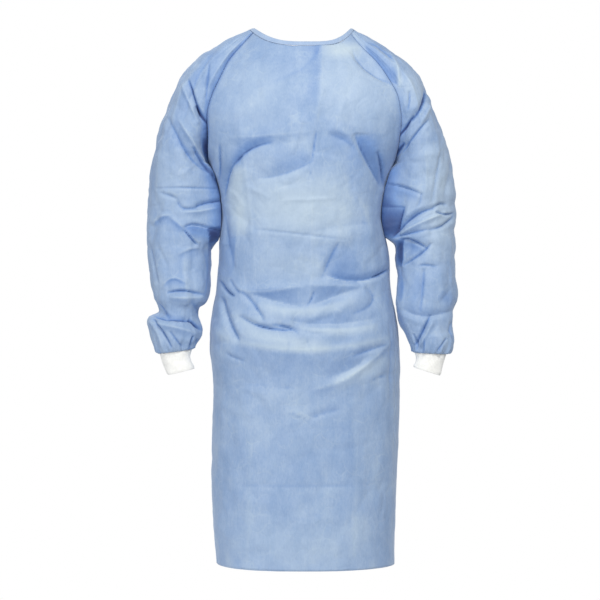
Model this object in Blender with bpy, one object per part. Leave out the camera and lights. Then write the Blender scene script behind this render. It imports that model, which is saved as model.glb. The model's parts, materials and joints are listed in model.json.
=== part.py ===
"""A surgical gown in the hollow shape that it has when it is worn, with nobody in it.

Metres, +Z up. The front of the gown faces -Y. Right and left are the wearer's own, so the
right sleeve is at -X. The origin is at the base of the neck, midway between the two points
where the neck edge crosses the shoulders: the gown hangs from there.

The body is a tube of rings. Each ring has its own widths and depths, read from a short table
by its level, the height that it has at the side. A place on the tube is a turn, the angle
round it from the centre front, and a level. Front and back panels are stretches of that tube.
The sleeves are arcs that start and end on the raglan seams, and close into rings at the
underarm.
"""

import math
from collections import namedtuple

import bmesh
import bpy
import numpy as np

# Cloth and sewing
WALL = 0.0015
KNIT_WALL = 0.0026
BINDING_WALL = 0.0034
SEAM_GAP = 0.0003
BINDING_WIDTH = 0.0100

# Levels down the gown
NECK = 0.0
UNDERARM = -0.300
WAIST = -0.548
HEM = -1.172

# Neck edge: how far its middle lies below its sides, how flat the dip is on each side, and how
# far the binding leans outwards where it crosses the shoulders
NECK_DROP_FRONT = 0.039
NECK_DROP_BACK = 0.034
NECK_CURVE_RIGHT = 2.8
NECK_CURVE_LEFT = 4.0
NECK_CURVE_BACK = 1.4
NECK_LEAN = 0.75
NECK_LEAN_POWER = 8.0

# How square the rings are: 1 is an ellipse, less is squarer
RING_POWER = 0.85

# Body rings: half widths at the wearer's right and left, depths in front and behind
Ring = namedtuple("Ring", "level right left front back")
BODY_RINGS = (
    Ring(-1.172, 0.190, 0.201, 0.149, 0.146),
    Ring(-1.080, 0.198, 0.203, 0.149, 0.146),
    Ring(-0.960, 0.201, 0.208, 0.148, 0.144),
    Ring(-0.850, 0.198, 0.212, 0.147, 0.142),
    Ring(-0.760, 0.198, 0.213, 0.146, 0.140),
    Ring(-0.700, 0.205, 0.212, 0.147, 0.134),
    Ring(-0.655, 0.204, 0.209, 0.146, 0.124),
    Ring(-0.610, 0.197, 0.201, 0.140, 0.109),
    Ring(-0.575, 0.190, 0.194, 0.134, 0.098),
    Ring(-0.548, 0.187, 0.192, 0.131, 0.094),
    Ring(-0.510, 0.185, 0.190, 0.133, 0.100),
    Ring(-0.460, 0.184, 0.181, 0.136, 0.111),
    Ring(-0.410, 0.181, 0.174, 0.138, 0.119),
    Ring(-0.360, 0.186, 0.180, 0.140, 0.124),
    Ring(-0.300, 0.2045, 0.199, 0.141, 0.127),
    Ring(-0.250, 0.2246, 0.222, 0.141, 0.127),
    Ring(-0.216, 0.232, 0.234, 0.140, 0.126),
    Ring(-0.180, 0.238, 0.242, 0.137, 0.123),
    Ring(-0.145, 0.2276, 0.236, 0.131, 0.119),
    Ring(-0.103, 0.205, 0.210, 0.121, 0.112),
    Ring(-0.069, 0.179, 0.176, 0.108, 0.102),
    Ring(-0.040, 0.150, 0.142, 0.098, 0.090),
    Ring(-0.0105, 0.118, 0.113, 0.088, 0.076),
    Ring(0.000, 0.108, 0.105, 0.085, 0.072),
)

# Where the panels end, as turns in degrees: the front raglan seam, the back one counted from
# the centre back, and below the underarm the two side seams
Seam = namedtuple("Seam", "level front back")
RAGLAN = (
    Seam(-0.300, 90.0, 90.0),
    Seam(-0.280, 80.0, 78.0),
    Seam(-0.250, 70.0, 67.0),
    Seam(-0.216, 64.0, 60.0),
    Seam(-0.180, 58.5, 56.0),
    Seam(-0.145, 57.5, 54.0),
    Seam(-0.103, 58.0, 54.0),
    Seam(-0.069, 62.0, 57.0),
    Seam(-0.040, 64.0, 60.0),
    Seam(0.000, 67.0, 64.0),
)
SideSeam = namedtuple("SideSeam", "level right left")
SIDE_SEAMS = (
    SideSeam(-1.172, 80.0, 75.0),
    SideSeam(-0.850, 82.0, 68.0),
    SideSeam(-0.620, 84.0, 72.0),
    SideSeam(-0.450, 87.0, 84.0),
    SideSeam(-0.300, 90.0, 90.0),
)

# The back panels cross over the centre back: how far each goes past it, in degrees
Overlap = namedtuple("Overlap", "level outer under")
OVERLAPS = (
    Overlap(-1.172, 34.0, 30.0),
    Overlap(-0.700, 31.0, 28.0),
    Overlap(-0.300, 25.0, 24.0),
    Overlap(0.000, 24.0, 22.0),
)
UNDER_SINK = 0.0030
UNDER_RAMP = 18.0
HEM_FLARE = 0.009
FLARE_TURNS = 22.0

# Levels of the rows of points: the yoke above the underarm, and the body below it
YOKE_LEVELS = (-0.300, -0.280, -0.250, -0.216, -0.180, -0.145, -0.120, -0.096, -0.069, -0.040, -0.0105)
BODY_LEVELS = (
    -1.172, -1.110, -1.040, -0.970, -0.900, -0.840, -0.790, -0.750, -0.715, -0.690, -0.670, -0.652,
    -0.634, -0.616, -0.598, -0.580, -0.560, -0.548, -0.536, -0.512, -0.480, -0.445, -0.410, -0.375,
    -0.340, -0.318,
)
FRONT_COLUMNS = 28
BACK_OUTER_COLUMNS = 7
OVERLAP_COLUMNS = 6
BACK_UNDER_COLUMNS = 7

# Sleeve cap: each row starts and ends on the raglan seams at a level and goes over its outermost
# point. depth is half the sleeve's size from front to back.
Cap = namedtuple("Cap", "level out_x out_y out_z depth")
CAP_RIGHT = (
    Cap(-0.040, -0.1430, 0.001, -0.013, 0.050),
    Cap(-0.069, -0.1840, 0.001, -0.036, 0.064),
    Cap(-0.096, -0.2215, 0.001, -0.059, 0.073),
    Cap(-0.120, -0.2470, 0.001, -0.081, 0.079),
    Cap(-0.145, -0.2665, 0.001, -0.106, 0.083),
    Cap(-0.180, -0.2855, 0.001, -0.145, 0.086),
    Cap(-0.216, -0.3020, 0.001, -0.188, 0.087),
    Cap(-0.250, -0.3150, 0.001, -0.227, 0.086),
    Cap(-0.280, -0.324, 0.001, -0.268, 0.085),
    Cap(-0.300, -0.331, 0.001, -0.300, 0.084),
)
CAP_LEFT = (
    Cap(-0.040, 0.1300, 0.001, -0.014, 0.050),
    Cap(-0.069, 0.1690, 0.001, -0.035, 0.064),
    Cap(-0.096, 0.2045, 0.001, -0.058, 0.073),
    Cap(-0.120, 0.2330, 0.001, -0.080, 0.079),
    Cap(-0.145, 0.2560, 0.001, -0.106, 0.083),
    Cap(-0.180, 0.2740, 0.001, -0.146, 0.086),
    Cap(-0.216, 0.2900, 0.001, -0.188, 0.087),
    Cap(-0.250, 0.3060, 0.001, -0.228, 0.086),
    Cap(-0.280, 0.320, 0.001, -0.268, 0.085),
    Cap(-0.300, 0.327, 0.001, -0.300, 0.084),
)

# Sleeve below the underarm, ring by ring: its outermost and innermost points seen from the
# front, its middle from front to back, and half its size that way
Arm = namedtuple("Arm", "out_x out_z in_x in_z mid_y depth")
ARM_RIGHT = (
    Arm(-0.3360, -0.330, -0.1990, -0.328, 0.001, 0.082),
    Arm(-0.3400, -0.365, -0.1895, -0.362, 0.001, 0.080),
    Arm(-0.3420, -0.402, -0.1845, -0.398, 0.000, 0.078),
    Arm(-0.3430, -0.438, -0.1855, -0.434, -0.003, 0.077),
    Arm(-0.3425, -0.466, -0.1875, -0.462, -0.007, 0.076),
    Arm(-0.3415, -0.488, -0.2015, -0.486, -0.011, 0.072),
    Arm(-0.3385, -0.516, -0.2016, -0.512, -0.016, 0.068),
    Arm(-0.3350, -0.546, -0.2020, -0.542, -0.023, 0.066),
    Arm(-0.3290, -0.574, -0.2050, -0.574, -0.030, 0.063),
    Arm(-0.3225, -0.596, -0.2110, -0.600, -0.036, 0.060),
    Arm(-0.3150, -0.612, -0.2285, -0.617, -0.041, 0.050),
    Arm(-0.3125, -0.623, -0.2285, -0.635, -0.045, 0.046),
    Arm(-0.3340, -0.630, -0.2235, -0.648, -0.049, 0.053),
    Arm(-0.3385, -0.642, -0.2175, -0.662, -0.052, 0.055),
    Arm(-0.3335, -0.662, -0.2230, -0.678, -0.057, 0.050),
    Arm(-0.3260, -0.686, -0.2335, -0.689, -0.061, 0.043),
    Arm(-0.3190, -0.702, -0.2390, -0.695, -0.065, 0.034),
)
ARM_LEFT = (
    Arm(0.3310, -0.330, 0.1950, -0.328, 0.001, 0.082),
    Arm(0.3340, -0.362, 0.1835, -0.360, 0.001, 0.080),
    Arm(0.3350, -0.396, 0.1785, -0.392, 0.000, 0.078),
    Arm(0.3345, -0.428, 0.1790, -0.424, -0.003, 0.078),
    Arm(0.3315, -0.446, 0.1830, -0.446, -0.006, 0.077),
    Arm(0.3335, -0.462, 0.1875, -0.460, -0.009, 0.075),
    Arm(0.3335, -0.480, 0.2005, -0.474, -0.013, 0.069),
    Arm(0.3320, -0.512, 0.2015, -0.508, -0.018, 0.067),
    Arm(0.3335, -0.542, 0.2070, -0.540, -0.025, 0.065),
    Arm(0.3360, -0.572, 0.2055, -0.570, -0.032, 0.064),
    Arm(0.3350, -0.594, 0.2030, -0.592, -0.038, 0.062),
    Arm(0.3290, -0.612, 0.2020, -0.608, -0.042, 0.059),
    Arm(0.3250, -0.628, 0.2050, -0.624, -0.046, 0.055),
    Arm(0.3240, -0.648, 0.2105, -0.646, -0.050, 0.052),
    Arm(0.3270, -0.668, 0.2210, -0.668, -0.055, 0.048),
    Arm(0.3260, -0.688, 0.2310, -0.688, -0.060, 0.042),
    Arm(0.3205, -0.702, 0.2380, -0.699, -0.064, 0.034),
)
SLEEVE_COLUMNS = 24

# Gathers at the cuff: the waves round it, and how high they stand, row by row up from the cuff
GATHERS = 8
GATHER_HEIGHTS = (0.0010, 0.0034, 0.0030, 0.0020, 0.0010)

# Cuff rings, in the same terms. The first one is tucked into the sleeve, and the sleeve's end is
# sewn on at the second.
CUFF_RIGHT = (
    Arm(-0.3125, -0.7060, -0.2415, -0.6965, -0.066, 0.0260),
    Arm(-0.3105, -0.7120, -0.2415, -0.7030, -0.067, 0.0262),
    Arm(-0.3045, -0.7300, -0.2440, -0.7180, -0.071, 0.0240),
    Arm(-0.2975, -0.7460, -0.2395, -0.7320, -0.075, 0.0245),
    Arm(-0.2930, -0.7584, -0.2335, -0.7432, -0.078, 0.0258),
)
CUFF_LEFT = (
    Arm(0.3110, -0.7070, 0.2430, -0.7040, -0.065, 0.0260),
    Arm(0.3100, -0.7130, 0.2425, -0.7100, -0.066, 0.0262),
    Arm(0.3040, -0.7300, 0.2445, -0.7220, -0.070, 0.0240),
    Arm(0.2995, -0.7460, 0.2415, -0.7320, -0.074, 0.0245),
    Arm(0.2975, -0.7593, 0.2377, -0.7402, -0.077, 0.0258),
)

# Neck tab and waist ties, which lie on the back
TAB_TURNS = (-20.0, 5.0)
TAB_LEVELS = (-0.036, -0.014)
TIE_WIDTH = 0.024
TIE_WALL = 0.0014
TIE_STOP = 3.2
TIE_START = 2  # columns of its panel, in from the side seam
STRIP_LIFT = 0.0006
KNOT_SIZE = (0.040, 0.017, 0.034)
KNOT_FLAT = 0.2
TieEnd = namedtuple("TieEnd", "side top_turn foot_turn foot_level")
TIE_ENDS = (
    TieEnd("right", 181.2, 186.0, -0.826),
    TieEnd("left", 178.8, 172.5, -0.872),
)
END_TOP_HALF = 0.0038
END_SPREAD = 0.35
END_TOP_LIFT = 0.0047
END_FOOT_LIFT = 0.0022

# Largest folds: seen from one face, each follows a curve through a start, a bend and an end.
# Places are sideways distance and level. A ridge has a positive height, a trough a negative one.
Fold = namedtuple("Fold", "face x0 z0 x1 z1 x2 z2 width height")
BODY_FOLDS = (
    Fold("front", -0.178, -0.385, -0.158, -0.290, -0.068, -0.262, 0.017, -0.0085),
    Fold("front", 0.176, -0.350, 0.158, -0.290, 0.112, -0.246, 0.018, -0.0085),
    Fold("front", -0.115, -0.572, 0.010, -0.612, 0.120, -0.568, 0.013, -0.0070),
    Fold("front", -0.150, -0.560, 0.010, -0.640, 0.165, -0.565, 0.013, 0.0075),
    Fold("front", -0.140, -0.628, -0.060, -0.658, 0.000, -0.662, 0.010, -0.0085),
    Fold("front", 0.000, -0.640, 0.080, -0.646, 0.150, -0.632, 0.010, -0.0055),
    Fold("front", -0.165, -0.660, 0.000, -0.720, 0.170, -0.650, 0.026, 0.0070),
    Fold("front", -0.180, -0.560, -0.120, -0.600, -0.086, -0.655, 0.010, -0.0065),
    Fold("front", -0.186, -0.575, -0.180, -0.640, -0.150, -0.690, 0.012, -0.0060),
    Fold("front", 0.035, -0.775, 0.110, -0.760, 0.180, -0.700, 0.018, 0.0065),
    Fold("front", -0.030, -0.835, 0.010, -0.865, 0.100, -0.832, 0.010, 0.0040),
    Fold("front", 0.040, -0.040, 0.042, -0.180, 0.030, -0.370, 0.020, 0.0035),
    Fold("back", -0.020, -0.330, 0.040, -0.430, 0.150, -0.530, 0.018, 0.0080),
    Fold("back", -0.100, -0.360, -0.110, -0.450, -0.140, -0.535, 0.018, 0.0080),
    Fold("back", 0.060, -0.580, 0.080, -0.700, 0.090, -0.860, 0.020, 0.0080),
    Fold("back", -0.090, -0.580, -0.120, -0.700, -0.130, -0.900, 0.022, 0.0080),
)
RIGHT_SLEEVE_FOLDS = (
    Fold("front", -0.318, -0.395, -0.270, -0.400, -0.200, -0.388, 0.008, -0.0050),
    Fold("front", -0.290, -0.425, -0.250, -0.440, -0.205, -0.418, 0.008, -0.0060),
    Fold("front", -0.325, -0.470, -0.270, -0.440, -0.210, -0.478, 0.012, -0.0080),
    Fold("front", -0.262, -0.470, -0.240, -0.500, -0.215, -0.560, 0.012, -0.0070),
    Fold("front", -0.300, -0.575, -0.260, -0.560, -0.215, -0.588, 0.010, -0.0060),
    Fold("front", -0.285, -0.150, -0.255, -0.230, -0.205, -0.290, 0.012, -0.0070),
    Fold("back", -0.320, -0.420, -0.270, -0.450, -0.215, -0.440, 0.012, -0.0070),
    Fold("back", -0.310, -0.500, -0.270, -0.520, -0.215, -0.500, 0.012, -0.0070),
)
LEFT_SLEEVE_FOLDS = (
    Fold("front", 0.200, -0.470, 0.250, -0.430, 0.325, -0.402, 0.012, -0.0080),
    Fold("front", 0.200, -0.478, 0.270, -0.470, 0.330, -0.425, 0.012, 0.0070),
    Fold("front", 0.205, -0.486, 0.245, -0.490, 0.262, -0.500, 0.009, -0.0070),
    Fold("front", 0.215, -0.552, 0.240, -0.530, 0.270, -0.500, 0.010, -0.0060),
    Fold("front", 0.262, -0.150, 0.240, -0.200, 0.205, -0.290, 0.012, -0.0070),
    Fold("front", 0.215, -0.600, 0.260, -0.622, 0.330, -0.592, 0.012, 0.0050),
    Fold("back", 0.320, -0.420, 0.270, -0.450, 0.215, -0.440, 0.012, -0.0070),
    Fold("back", 0.310, -0.500, 0.270, -0.520, 0.215, -0.500, 0.012, -0.0070),
)
BEND_STEPS = 14
FOLD_TAPER = 0.6
SEAM_CALM = 9.0

# How the walls are worked out
TURN_STEP = 1.0
LEVEL_STEP = 0.004
UNDERARM_CLEAR = 0.0007
FACE_TO_FACE = 0.6
BINDING_COLUMNS = 60
MERGE = 1e-6
SHARP = math.radians(40)

CLOTH_BLUE = (0.33, 0.50, 0.78)
KNIT_WHITE = (0.88, 0.87, 0.84)
TAPE_PALE = (0.80, 0.84, 0.88)


def clear_scene():
    for old in list(bpy.data.objects):
        bpy.data.objects.remove(old)


def material(name, colour, roughness):
    made = bpy.data.materials.new(name)
    made.use_nodes = True
    shader = made.node_tree.nodes["Principled BSDF"]
    shader.inputs["Base Color"].default_value = (*colour, 1.0)
    shader.inputs["Roughness"].default_value = roughness
    return made


def smooth(table, column, at):
    """The value of a column at a level: a smooth curve through the table's rows."""
    rows = sorted(table, key=lambda row: row.level)
    keys = np.array([row.level for row in rows])
    values = np.array([getattr(row, column) for row in rows])
    slopes = np.gradient(values, keys)
    at = np.clip(np.asarray(at, float), keys[0], keys[-1])
    i = np.clip(np.searchsorted(keys, at, side="right") - 1, 0, len(keys) - 2)
    span = keys[i + 1] - keys[i]
    t = (at - keys[i]) / span
    rise = t * t * (3 - 2 * t)
    start = t * (1 - t) ** 2 * span * slopes[i]
    end = t * t * (t - 1) * span * slopes[i + 1]
    return values[i] * (1 - rise) + values[i + 1] * rise + start + end


def ease(low, high, at):
    """0 below low, 1 above high, and a smooth rise between them."""
    t = np.clip((at - low) / (high - low), 0, 1)
    return t * t * (3 - 2 * t)


def unit(vectors):
    return vectors / np.maximum(np.linalg.norm(vectors, axis=-1, keepdims=True), 1e-9)


def body(turn, level):
    """The point of the body tube at a turn and a level."""
    turn, level = np.broadcast_arrays(np.asarray(turn, float), np.asarray(level, float))
    sine, cosine = np.sin(np.radians(turn)), np.cos(np.radians(turn))
    side = np.sign(sine) * np.abs(sine) ** RING_POWER
    fore = np.sign(cosine) * np.abs(cosine) ** RING_POWER
    width = np.where(side < 0, smooth(BODY_RINGS, "right", level), smooth(BODY_RINGS, "left", level))
    depth = np.where(fore > 0, smooth(BODY_RINGS, "front", level), smooth(BODY_RINGS, "back", level))
    curve = np.where(side < 0, NECK_CURVE_RIGHT, NECK_CURVE_LEFT)
    front_drop = NECK_DROP_FRONT * (1 - np.abs(side) ** curve)
    back_drop = NECK_DROP_BACK * (1 - np.abs(side) ** NECK_CURVE_BACK)
    drop = np.where(fore > 0, front_drop, back_drop)
    lean = NECK_LEAN * np.minimum(NECK - level, BINDING_WIDTH) * np.abs(side) ** NECK_LEAN_POWER
    yoke = np.clip((level - UNDERARM) / (NECK - UNDERARM), 0, 1)
    return np.stack([width * side, -depth * fore, level + (lean - drop) * yoke], axis=-1)


def body_normal(turn, level):
    """The direction out of the body tube, from two short steps on it."""
    turn, level = np.broadcast_arrays(np.asarray(turn, float), np.asarray(level, float))
    along = body(turn + TURN_STEP, level) - body(turn - TURN_STEP, level)
    low = np.clip(level - LEVEL_STEP, HEM, NECK)
    high = np.clip(level + LEVEL_STEP, HEM, NECK)
    return unit(np.cross(along, body(turn, high) - body(turn, low)))


def even_turns(level, start, stop, count):
    """Turns from start to stop that are evenly spaced along the ring at a level."""
    turns = np.linspace(start, stop, 181)
    steps = np.linalg.norm(np.diff(body(turns, level), axis=0), axis=1)
    run = np.concatenate([[0.0], np.cumsum(steps)])
    return np.interp(np.linspace(0, run[-1], count + 1), run, turns)


def bend_points(fold):
    """Points along a fold's curve, as sideways distance and height."""
    t = np.linspace(0, 1, BEND_STEPS)[:, None]
    start, bend, end = (np.array(p) for p in ((fold.x0, fold.z0), (fold.x1, fold.z1), (fold.x2, fold.z2)))
    return (1 - t) ** 2 * start + 2 * t * (1 - t) * bend + t * t * end


def fold_lift(folds, points, normals):
    """How far the folds move each point of a panel out along its normal."""
    flat = points.reshape(-1, 3)[:, [0, 2]]
    facing = normals.reshape(-1, 3)[:, 1]
    each = np.arange(len(flat))
    lift = np.zeros(len(flat))
    for fold in folds:
        curve = bend_points(fold)
        start, run = curve[:-1], np.diff(curve, axis=0)
        share = ((flat[:, None] - start) * run).sum(-1) / (run * run).sum(-1)
        share = np.clip(share, 0, 1)
        away = np.linalg.norm(flat[:, None] - start - share[..., None] * run, axis=-1)
        near = away.argmin(axis=1)
        along = (near + share[each, near]) / len(start)
        taper = np.sin(np.pi * along) ** FOLD_TAPER
        section = np.exp(-((away[each, near] / fold.width) ** 2))
        seen = np.clip(2.0 * (-facing if fold.face == "front" else facing), 0, 1)
        lift += fold.height * taper * section * seen
    return lift.reshape(points.shape[:-1])


def seam_turn(side, panel, level):
    """The turn of a panel's edge: on the raglan seam in the yoke, and on the side seam below it."""
    level = np.asarray(level, float)
    yoke = smooth(RAGLAN, panel, level)
    if panel == "back":
        yoke = 180.0 - yoke
    return np.where(level >= UNDERARM, yoke, smooth(SIDE_SEAMS, side, level))


def gap_in_degrees(level):
    """Half of a seam's gap as a turn, by the ring's size at that level."""
    size = (smooth(BODY_RINGS, "left", level) + smooth(BODY_RINGS, "front", level)) / 2
    return np.degrees(SEAM_GAP / size)


def off_seam(turn, level):
    """0 on the raglan seams and 1 away from them: folds die out before they reach a seam."""
    turn = np.abs((turn + 180.0) % 360.0 - 180.0)
    to_front = np.abs(turn - smooth(RAGLAN, "front", level))
    to_back = np.abs(turn - 180.0 + smooth(RAGLAN, "back", level))
    clear = ease(0.0, SEAM_CALM, np.minimum(to_front, to_back))
    return 1 - (1 - clear) * ease(UNDERARM - 0.04, UNDERARM - 0.01, level)


LEVELS = np.array(sorted(set(BODY_LEVELS) | set(YOKE_LEVELS)))


def cloth(turns):
    """Points of the body's cloth at a grid of turns, one row for each level, and the ways out."""
    levels = np.broadcast_to(LEVELS[:, None], turns.shape)
    points, normals = body(turns, levels), body_normal(turns, levels)
    lift = fold_lift(BODY_FOLDS, points, normals) * off_seam(turns, levels)
    return points + normals * lift[..., None], normals


def front_wall():
    """Outer and inner points of the front panel."""
    gap = gap_in_degrees(LEVELS)
    right = -seam_turn("right", "front", LEVELS) + gap
    left = seam_turn("left", "front", LEVELS) - gap
    turns = np.array([even_turns(z, a, b, FRONT_COLUMNS) for z, a, b in zip(LEVELS, right, left)])
    outer, normals = cloth(turns)
    return outer, outer - normals * WALL


def back_turns():
    """Turns of the whole back, from the left side seam to the right one.

    The two panels share the columns of their overlap, so one follows the other closely.
    """
    gap = gap_in_degrees(LEVELS)
    start = seam_turn("left", "back", LEVELS) + gap
    under = 180.0 - smooth(OVERLAPS, "under", LEVELS)
    over = 180.0 + smooth(OVERLAPS, "outer", LEVELS)
    end = 360.0 - seam_turn("right", "back", LEVELS) - gap
    rows = []
    for z, a, b, c, d in zip(LEVELS, start, under, over, end):
        stretches = (
            even_turns(z, a, b, BACK_OUTER_COLUMNS),
            even_turns(z, b, c, OVERLAP_COLUMNS)[1:],
            even_turns(z, c, d, BACK_UNDER_COLUMNS)[1:],
        )
        rows.append(np.concatenate(stretches))
    return np.array(rows)


def back_walls():
    """Outer and inner points of the wrap-over back panel and of the one under it."""
    turns = back_turns()
    points, normals = cloth(turns)
    levels = np.broadcast_to(LEVELS[:, None], turns.shape)
    edge = 180.0 + smooth(OVERLAPS, "outer", levels)
    flare = HEM_FLARE * ease(edge - FLARE_TURNS, edge, turns) ** 2 * ease(-WAIST, -HEM, -levels)
    sink = UNDER_SINK * (1 - ease(edge, edge + UNDER_RAMP, turns))
    over, under = slice(None, BACK_OUTER_COLUMNS + OVERLAP_COLUMNS + 1), slice(BACK_OUTER_COLUMNS, None)
    left = (points + normals * flare[..., None])[:, over]
    right = (points - normals * sink[..., None])[:, under]
    return (left, left - normals[:, over] * WALL), (right, right - normals[:, under] * WALL)


def loft(name, walls, finish, closed_from=None):
    """A closed wall between an outer and an inner grid of points.

    closed_from is the first row whose two ends meet, as a sleeve's do below the underarm.
    """
    outer, inner = walls
    rows, columns = outer.shape[:2]
    work = bmesh.new()
    out, inn = ([[work.verts.new(p) for p in row] for row in grid] for grid in (outer, inner))
    for r in range(rows - 1):
        for c in range(columns - 1):
            work.faces.new((out[r][c], out[r][c + 1], out[r + 1][c + 1], out[r + 1][c]))
            work.faces.new((inn[r][c], inn[r + 1][c], inn[r + 1][c + 1], inn[r][c + 1]))
        if closed_from is None or r < closed_from:
            work.faces.new((out[r][0], out[r + 1][0], inn[r + 1][0], inn[r][0]))
            work.faces.new((out[r][-1], inn[r][-1], inn[r + 1][-1], out[r + 1][-1]))
    for c in range(columns - 1):
        work.faces.new((out[0][c], inn[0][c], inn[0][c + 1], out[0][c + 1]))
        work.faces.new((out[-1][c], out[-1][c + 1], inn[-1][c + 1], inn[-1][c]))
    bmesh.ops.remove_doubles(work, verts=work.verts, dist=MERGE)
    bmesh.ops.recalc_face_normals(work, faces=work.faces)
    add_piece(name, work, finish)


def add_piece(name, work, finish):
    mesh = bpy.data.meshes.new(name)
    work.to_mesh(mesh)
    work.free()
    mesh.shade_smooth()
    mesh.set_sharp_from_angle(angle=SHARP)
    mesh.materials.append(finish)
    gown.objects.link(bpy.data.objects.new(name, mesh))


def outward(points, closed, sign):
    """The ways out of a sleeve's grid of points, whose rows run down the arm."""
    down = np.gradient(points, axis=0)
    across = np.gradient(points, axis=1)
    for r in np.flatnonzero(closed):
        across[r, 0] = across[r, -1] = points[r, 1] - points[r, -2]
        down[r, 0] = down[r, -1] = (down[r, 0] + down[r, -1]) / 2
    return sign * unit(np.cross(across, down))


def raglan_points(side, level):
    """The front and back raglan seam points at a level, on the sleeve's side of the gap."""
    sign = SIGNS[side]
    gap = gap_in_degrees(level)
    turns = sign * (seam_turn(side, "front", level) + gap), sign * (seam_turn(side, "back", level) - gap)
    if level <= UNDERARM:
        turns = sign * 90.0, sign * 90.0
    points, normals = [body(turn, level) for turn in turns], [body_normal(turn, level) for turn in turns]
    if level <= UNDERARM:
        points = [point + normal * UNDERARM_CLEAR for point, normal in zip(points, normals)]
    return points, normals


def neck_row(side, share):
    """The sleeve's first row, which lies on the body tube along the binding."""
    level = YOKE_LEVELS[-1]
    gap = gap_in_degrees(level)
    start, end = seam_turn(side, "front", level) + gap, seam_turn(side, "back", level) - gap
    return body(SIGNS[side] * (start + (end - start) * share), level)


def arc(front, back, out, depth, share):
    """Points from the front seam over the outermost point to the back seam."""
    middle, chord = (front + back) / 2, (front - back) / 2
    reach = min(np.linalg.norm(chord) / depth, 1.0)
    tuck = math.acos(reach)
    fore = depth * (unit(chord) if reach > MERGE else np.array([0.0, -1.0, 0.0]))
    swing = (out - middle) / (1 + math.sin(tuck))
    angle = (-tuck + (math.pi + 2 * tuck) * share)[:, None]
    return out - swing + swing * np.sin(angle) + fore * np.cos(angle)


def ring(arm, share):
    """A closed ring of a sleeve or cuff, from its innermost point round its front and back."""
    out = np.array([arm.out_x, arm.mid_y, arm.out_z])
    inside = np.array([arm.in_x, arm.mid_y, arm.in_z])
    angle = (2 * math.pi * share - math.pi / 2)[:, None]
    fore = np.array([0.0, -arm.depth, 0.0])
    points = (out + inside) / 2 + (out - inside) / 2 * np.sin(angle) + fore * np.cos(angle)
    points[-1] = points[0]
    return points


def gather(points, height, share):
    """Small waves round a sleeve that is gathered into its cuff."""
    middle = points[:-1].mean(axis=0)
    wave = (1 - np.cos(2 * math.pi * GATHERS * share)) / 2
    return points + unit(points - middle) * (height * wave)[:, None]


def sleeve_wall(side):
    """Outer and inner points of a sleeve, and its first closed row."""
    caps, arms, cuff, folds = SLEEVES[side]
    share = np.linspace(0, 1, SLEEVE_COLUMNS + 1)
    rows, ways_out = [neck_row(side, share)], [raglan_points(side, YOKE_LEVELS[-1])[1]]
    for cap in caps:
        (front, back), normals = raglan_points(side, cap.level)
        rows.append(arc(front, back, np.array([cap.out_x, cap.out_y, cap.out_z]), cap.depth, share))
        ways_out.append(normals)
    first_closed = len(caps)
    rows += [ring(arm, share) for arm in arms]
    sewn = ring(cuff[1], share)
    middle = sewn[:-1].mean(axis=0)
    rows.append(sewn + unit(sewn - middle) * (SEAM_GAP + WALL))
    for r, height in enumerate(GATHER_HEIGHTS):
        rows[-1 - r] = gather(rows[-1 - r], height, share)
    points = np.array(rows)
    closed = np.arange(len(points)) >= first_closed
    points[closed, -1] = points[closed, 0]
    ways = outward(points, closed, -SIGNS[side])
    lift = fold_lift(folds, points, ways)
    lift[: first_closed + 1, [0, -1]] = 0.0
    points = points + ways * lift[..., None]
    points[closed, -1] = points[closed, 0]
    ways = outward(points, closed, -SIGNS[side])
    for r, normals in enumerate(ways_out[:first_closed]):
        for c, normal in zip((0, -1), normals):
            share_of_body = ease(0.0, FACE_TO_FACE, float(ways[r, c] @ normal))
            ways[r, c] = unit(normal * share_of_body + ways[r, c] * (1 - share_of_body))
    return (points, points - ways * WALL), first_closed


def cuff_wall(side):
    """Outer and inner points of a knitted cuff."""
    share = np.linspace(0, 1, SLEEVE_COLUMNS + 1)
    points = np.array([ring(arm, share) for arm in SLEEVES[side][2]])
    ways = outward(points, np.ones(len(points), bool), -SIGNS[side])
    return points, points - ways * KNIT_WALL


def binding_wall():
    """The strip round the neck edge. At the centre back its outer end lies over its inner one."""
    under = 180.0 + smooth(OVERLAPS, "under", NECK)
    over = 180.0 + smooth(OVERLAPS, "outer", NECK)
    turns = np.linspace(-under, over, BINDING_COLUMNS + 1)
    levels = np.array([NECK - BINDING_WIDTH, NECK - BINDING_WIDTH / 2, NECK])[:, None]
    sunk = (UNDER_SINK + BINDING_WALL - WALL) * (1 - ease(over - 360.0, over - 360.0 + UNDER_RAMP, turns))
    normals = body_normal(turns, np.minimum(levels, NECK - LEVEL_STEP))
    outer = body(turns, levels) + normals * ((BINDING_WALL - WALL) / 2 - sunk)[:, None]
    return outer, outer - normals * BINDING_WALL


def sample(grid, rows, columns):
    """Points of a grid at fractional rows and columns."""
    rows, columns = np.broadcast_arrays(rows, columns)
    r = np.clip(rows.astype(int), 0, grid.shape[0] - 2)
    c = np.clip(columns.astype(int), 0, grid.shape[1] - 2)
    u, v = (rows - r)[..., None], (columns - c)[..., None]
    upper = grid[r, c] * (1 - v) + grid[r, c + 1] * v
    lower = grid[r + 1, c] * (1 - v) + grid[r + 1, c + 1] * v
    return upper * (1 - u) + lower * u


def row_at(level):
    return np.interp(level, LEVELS, np.arange(len(LEVELS)))


def column_at(turn, level):
    row = back_turns()[int(round(float(row_at(level))))]
    return np.interp(turn, row, np.arange(len(row)))


def on_back(rows, columns, lift, wall):
    """A strip's outer and inner points, a little outside the cloth of the back."""
    points, normals = cloth(back_turns())
    ways = unit(sample(normals, rows, columns))
    inner = sample(points, rows, columns) + ways * lift
    return inner + ways * wall, inner


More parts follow.
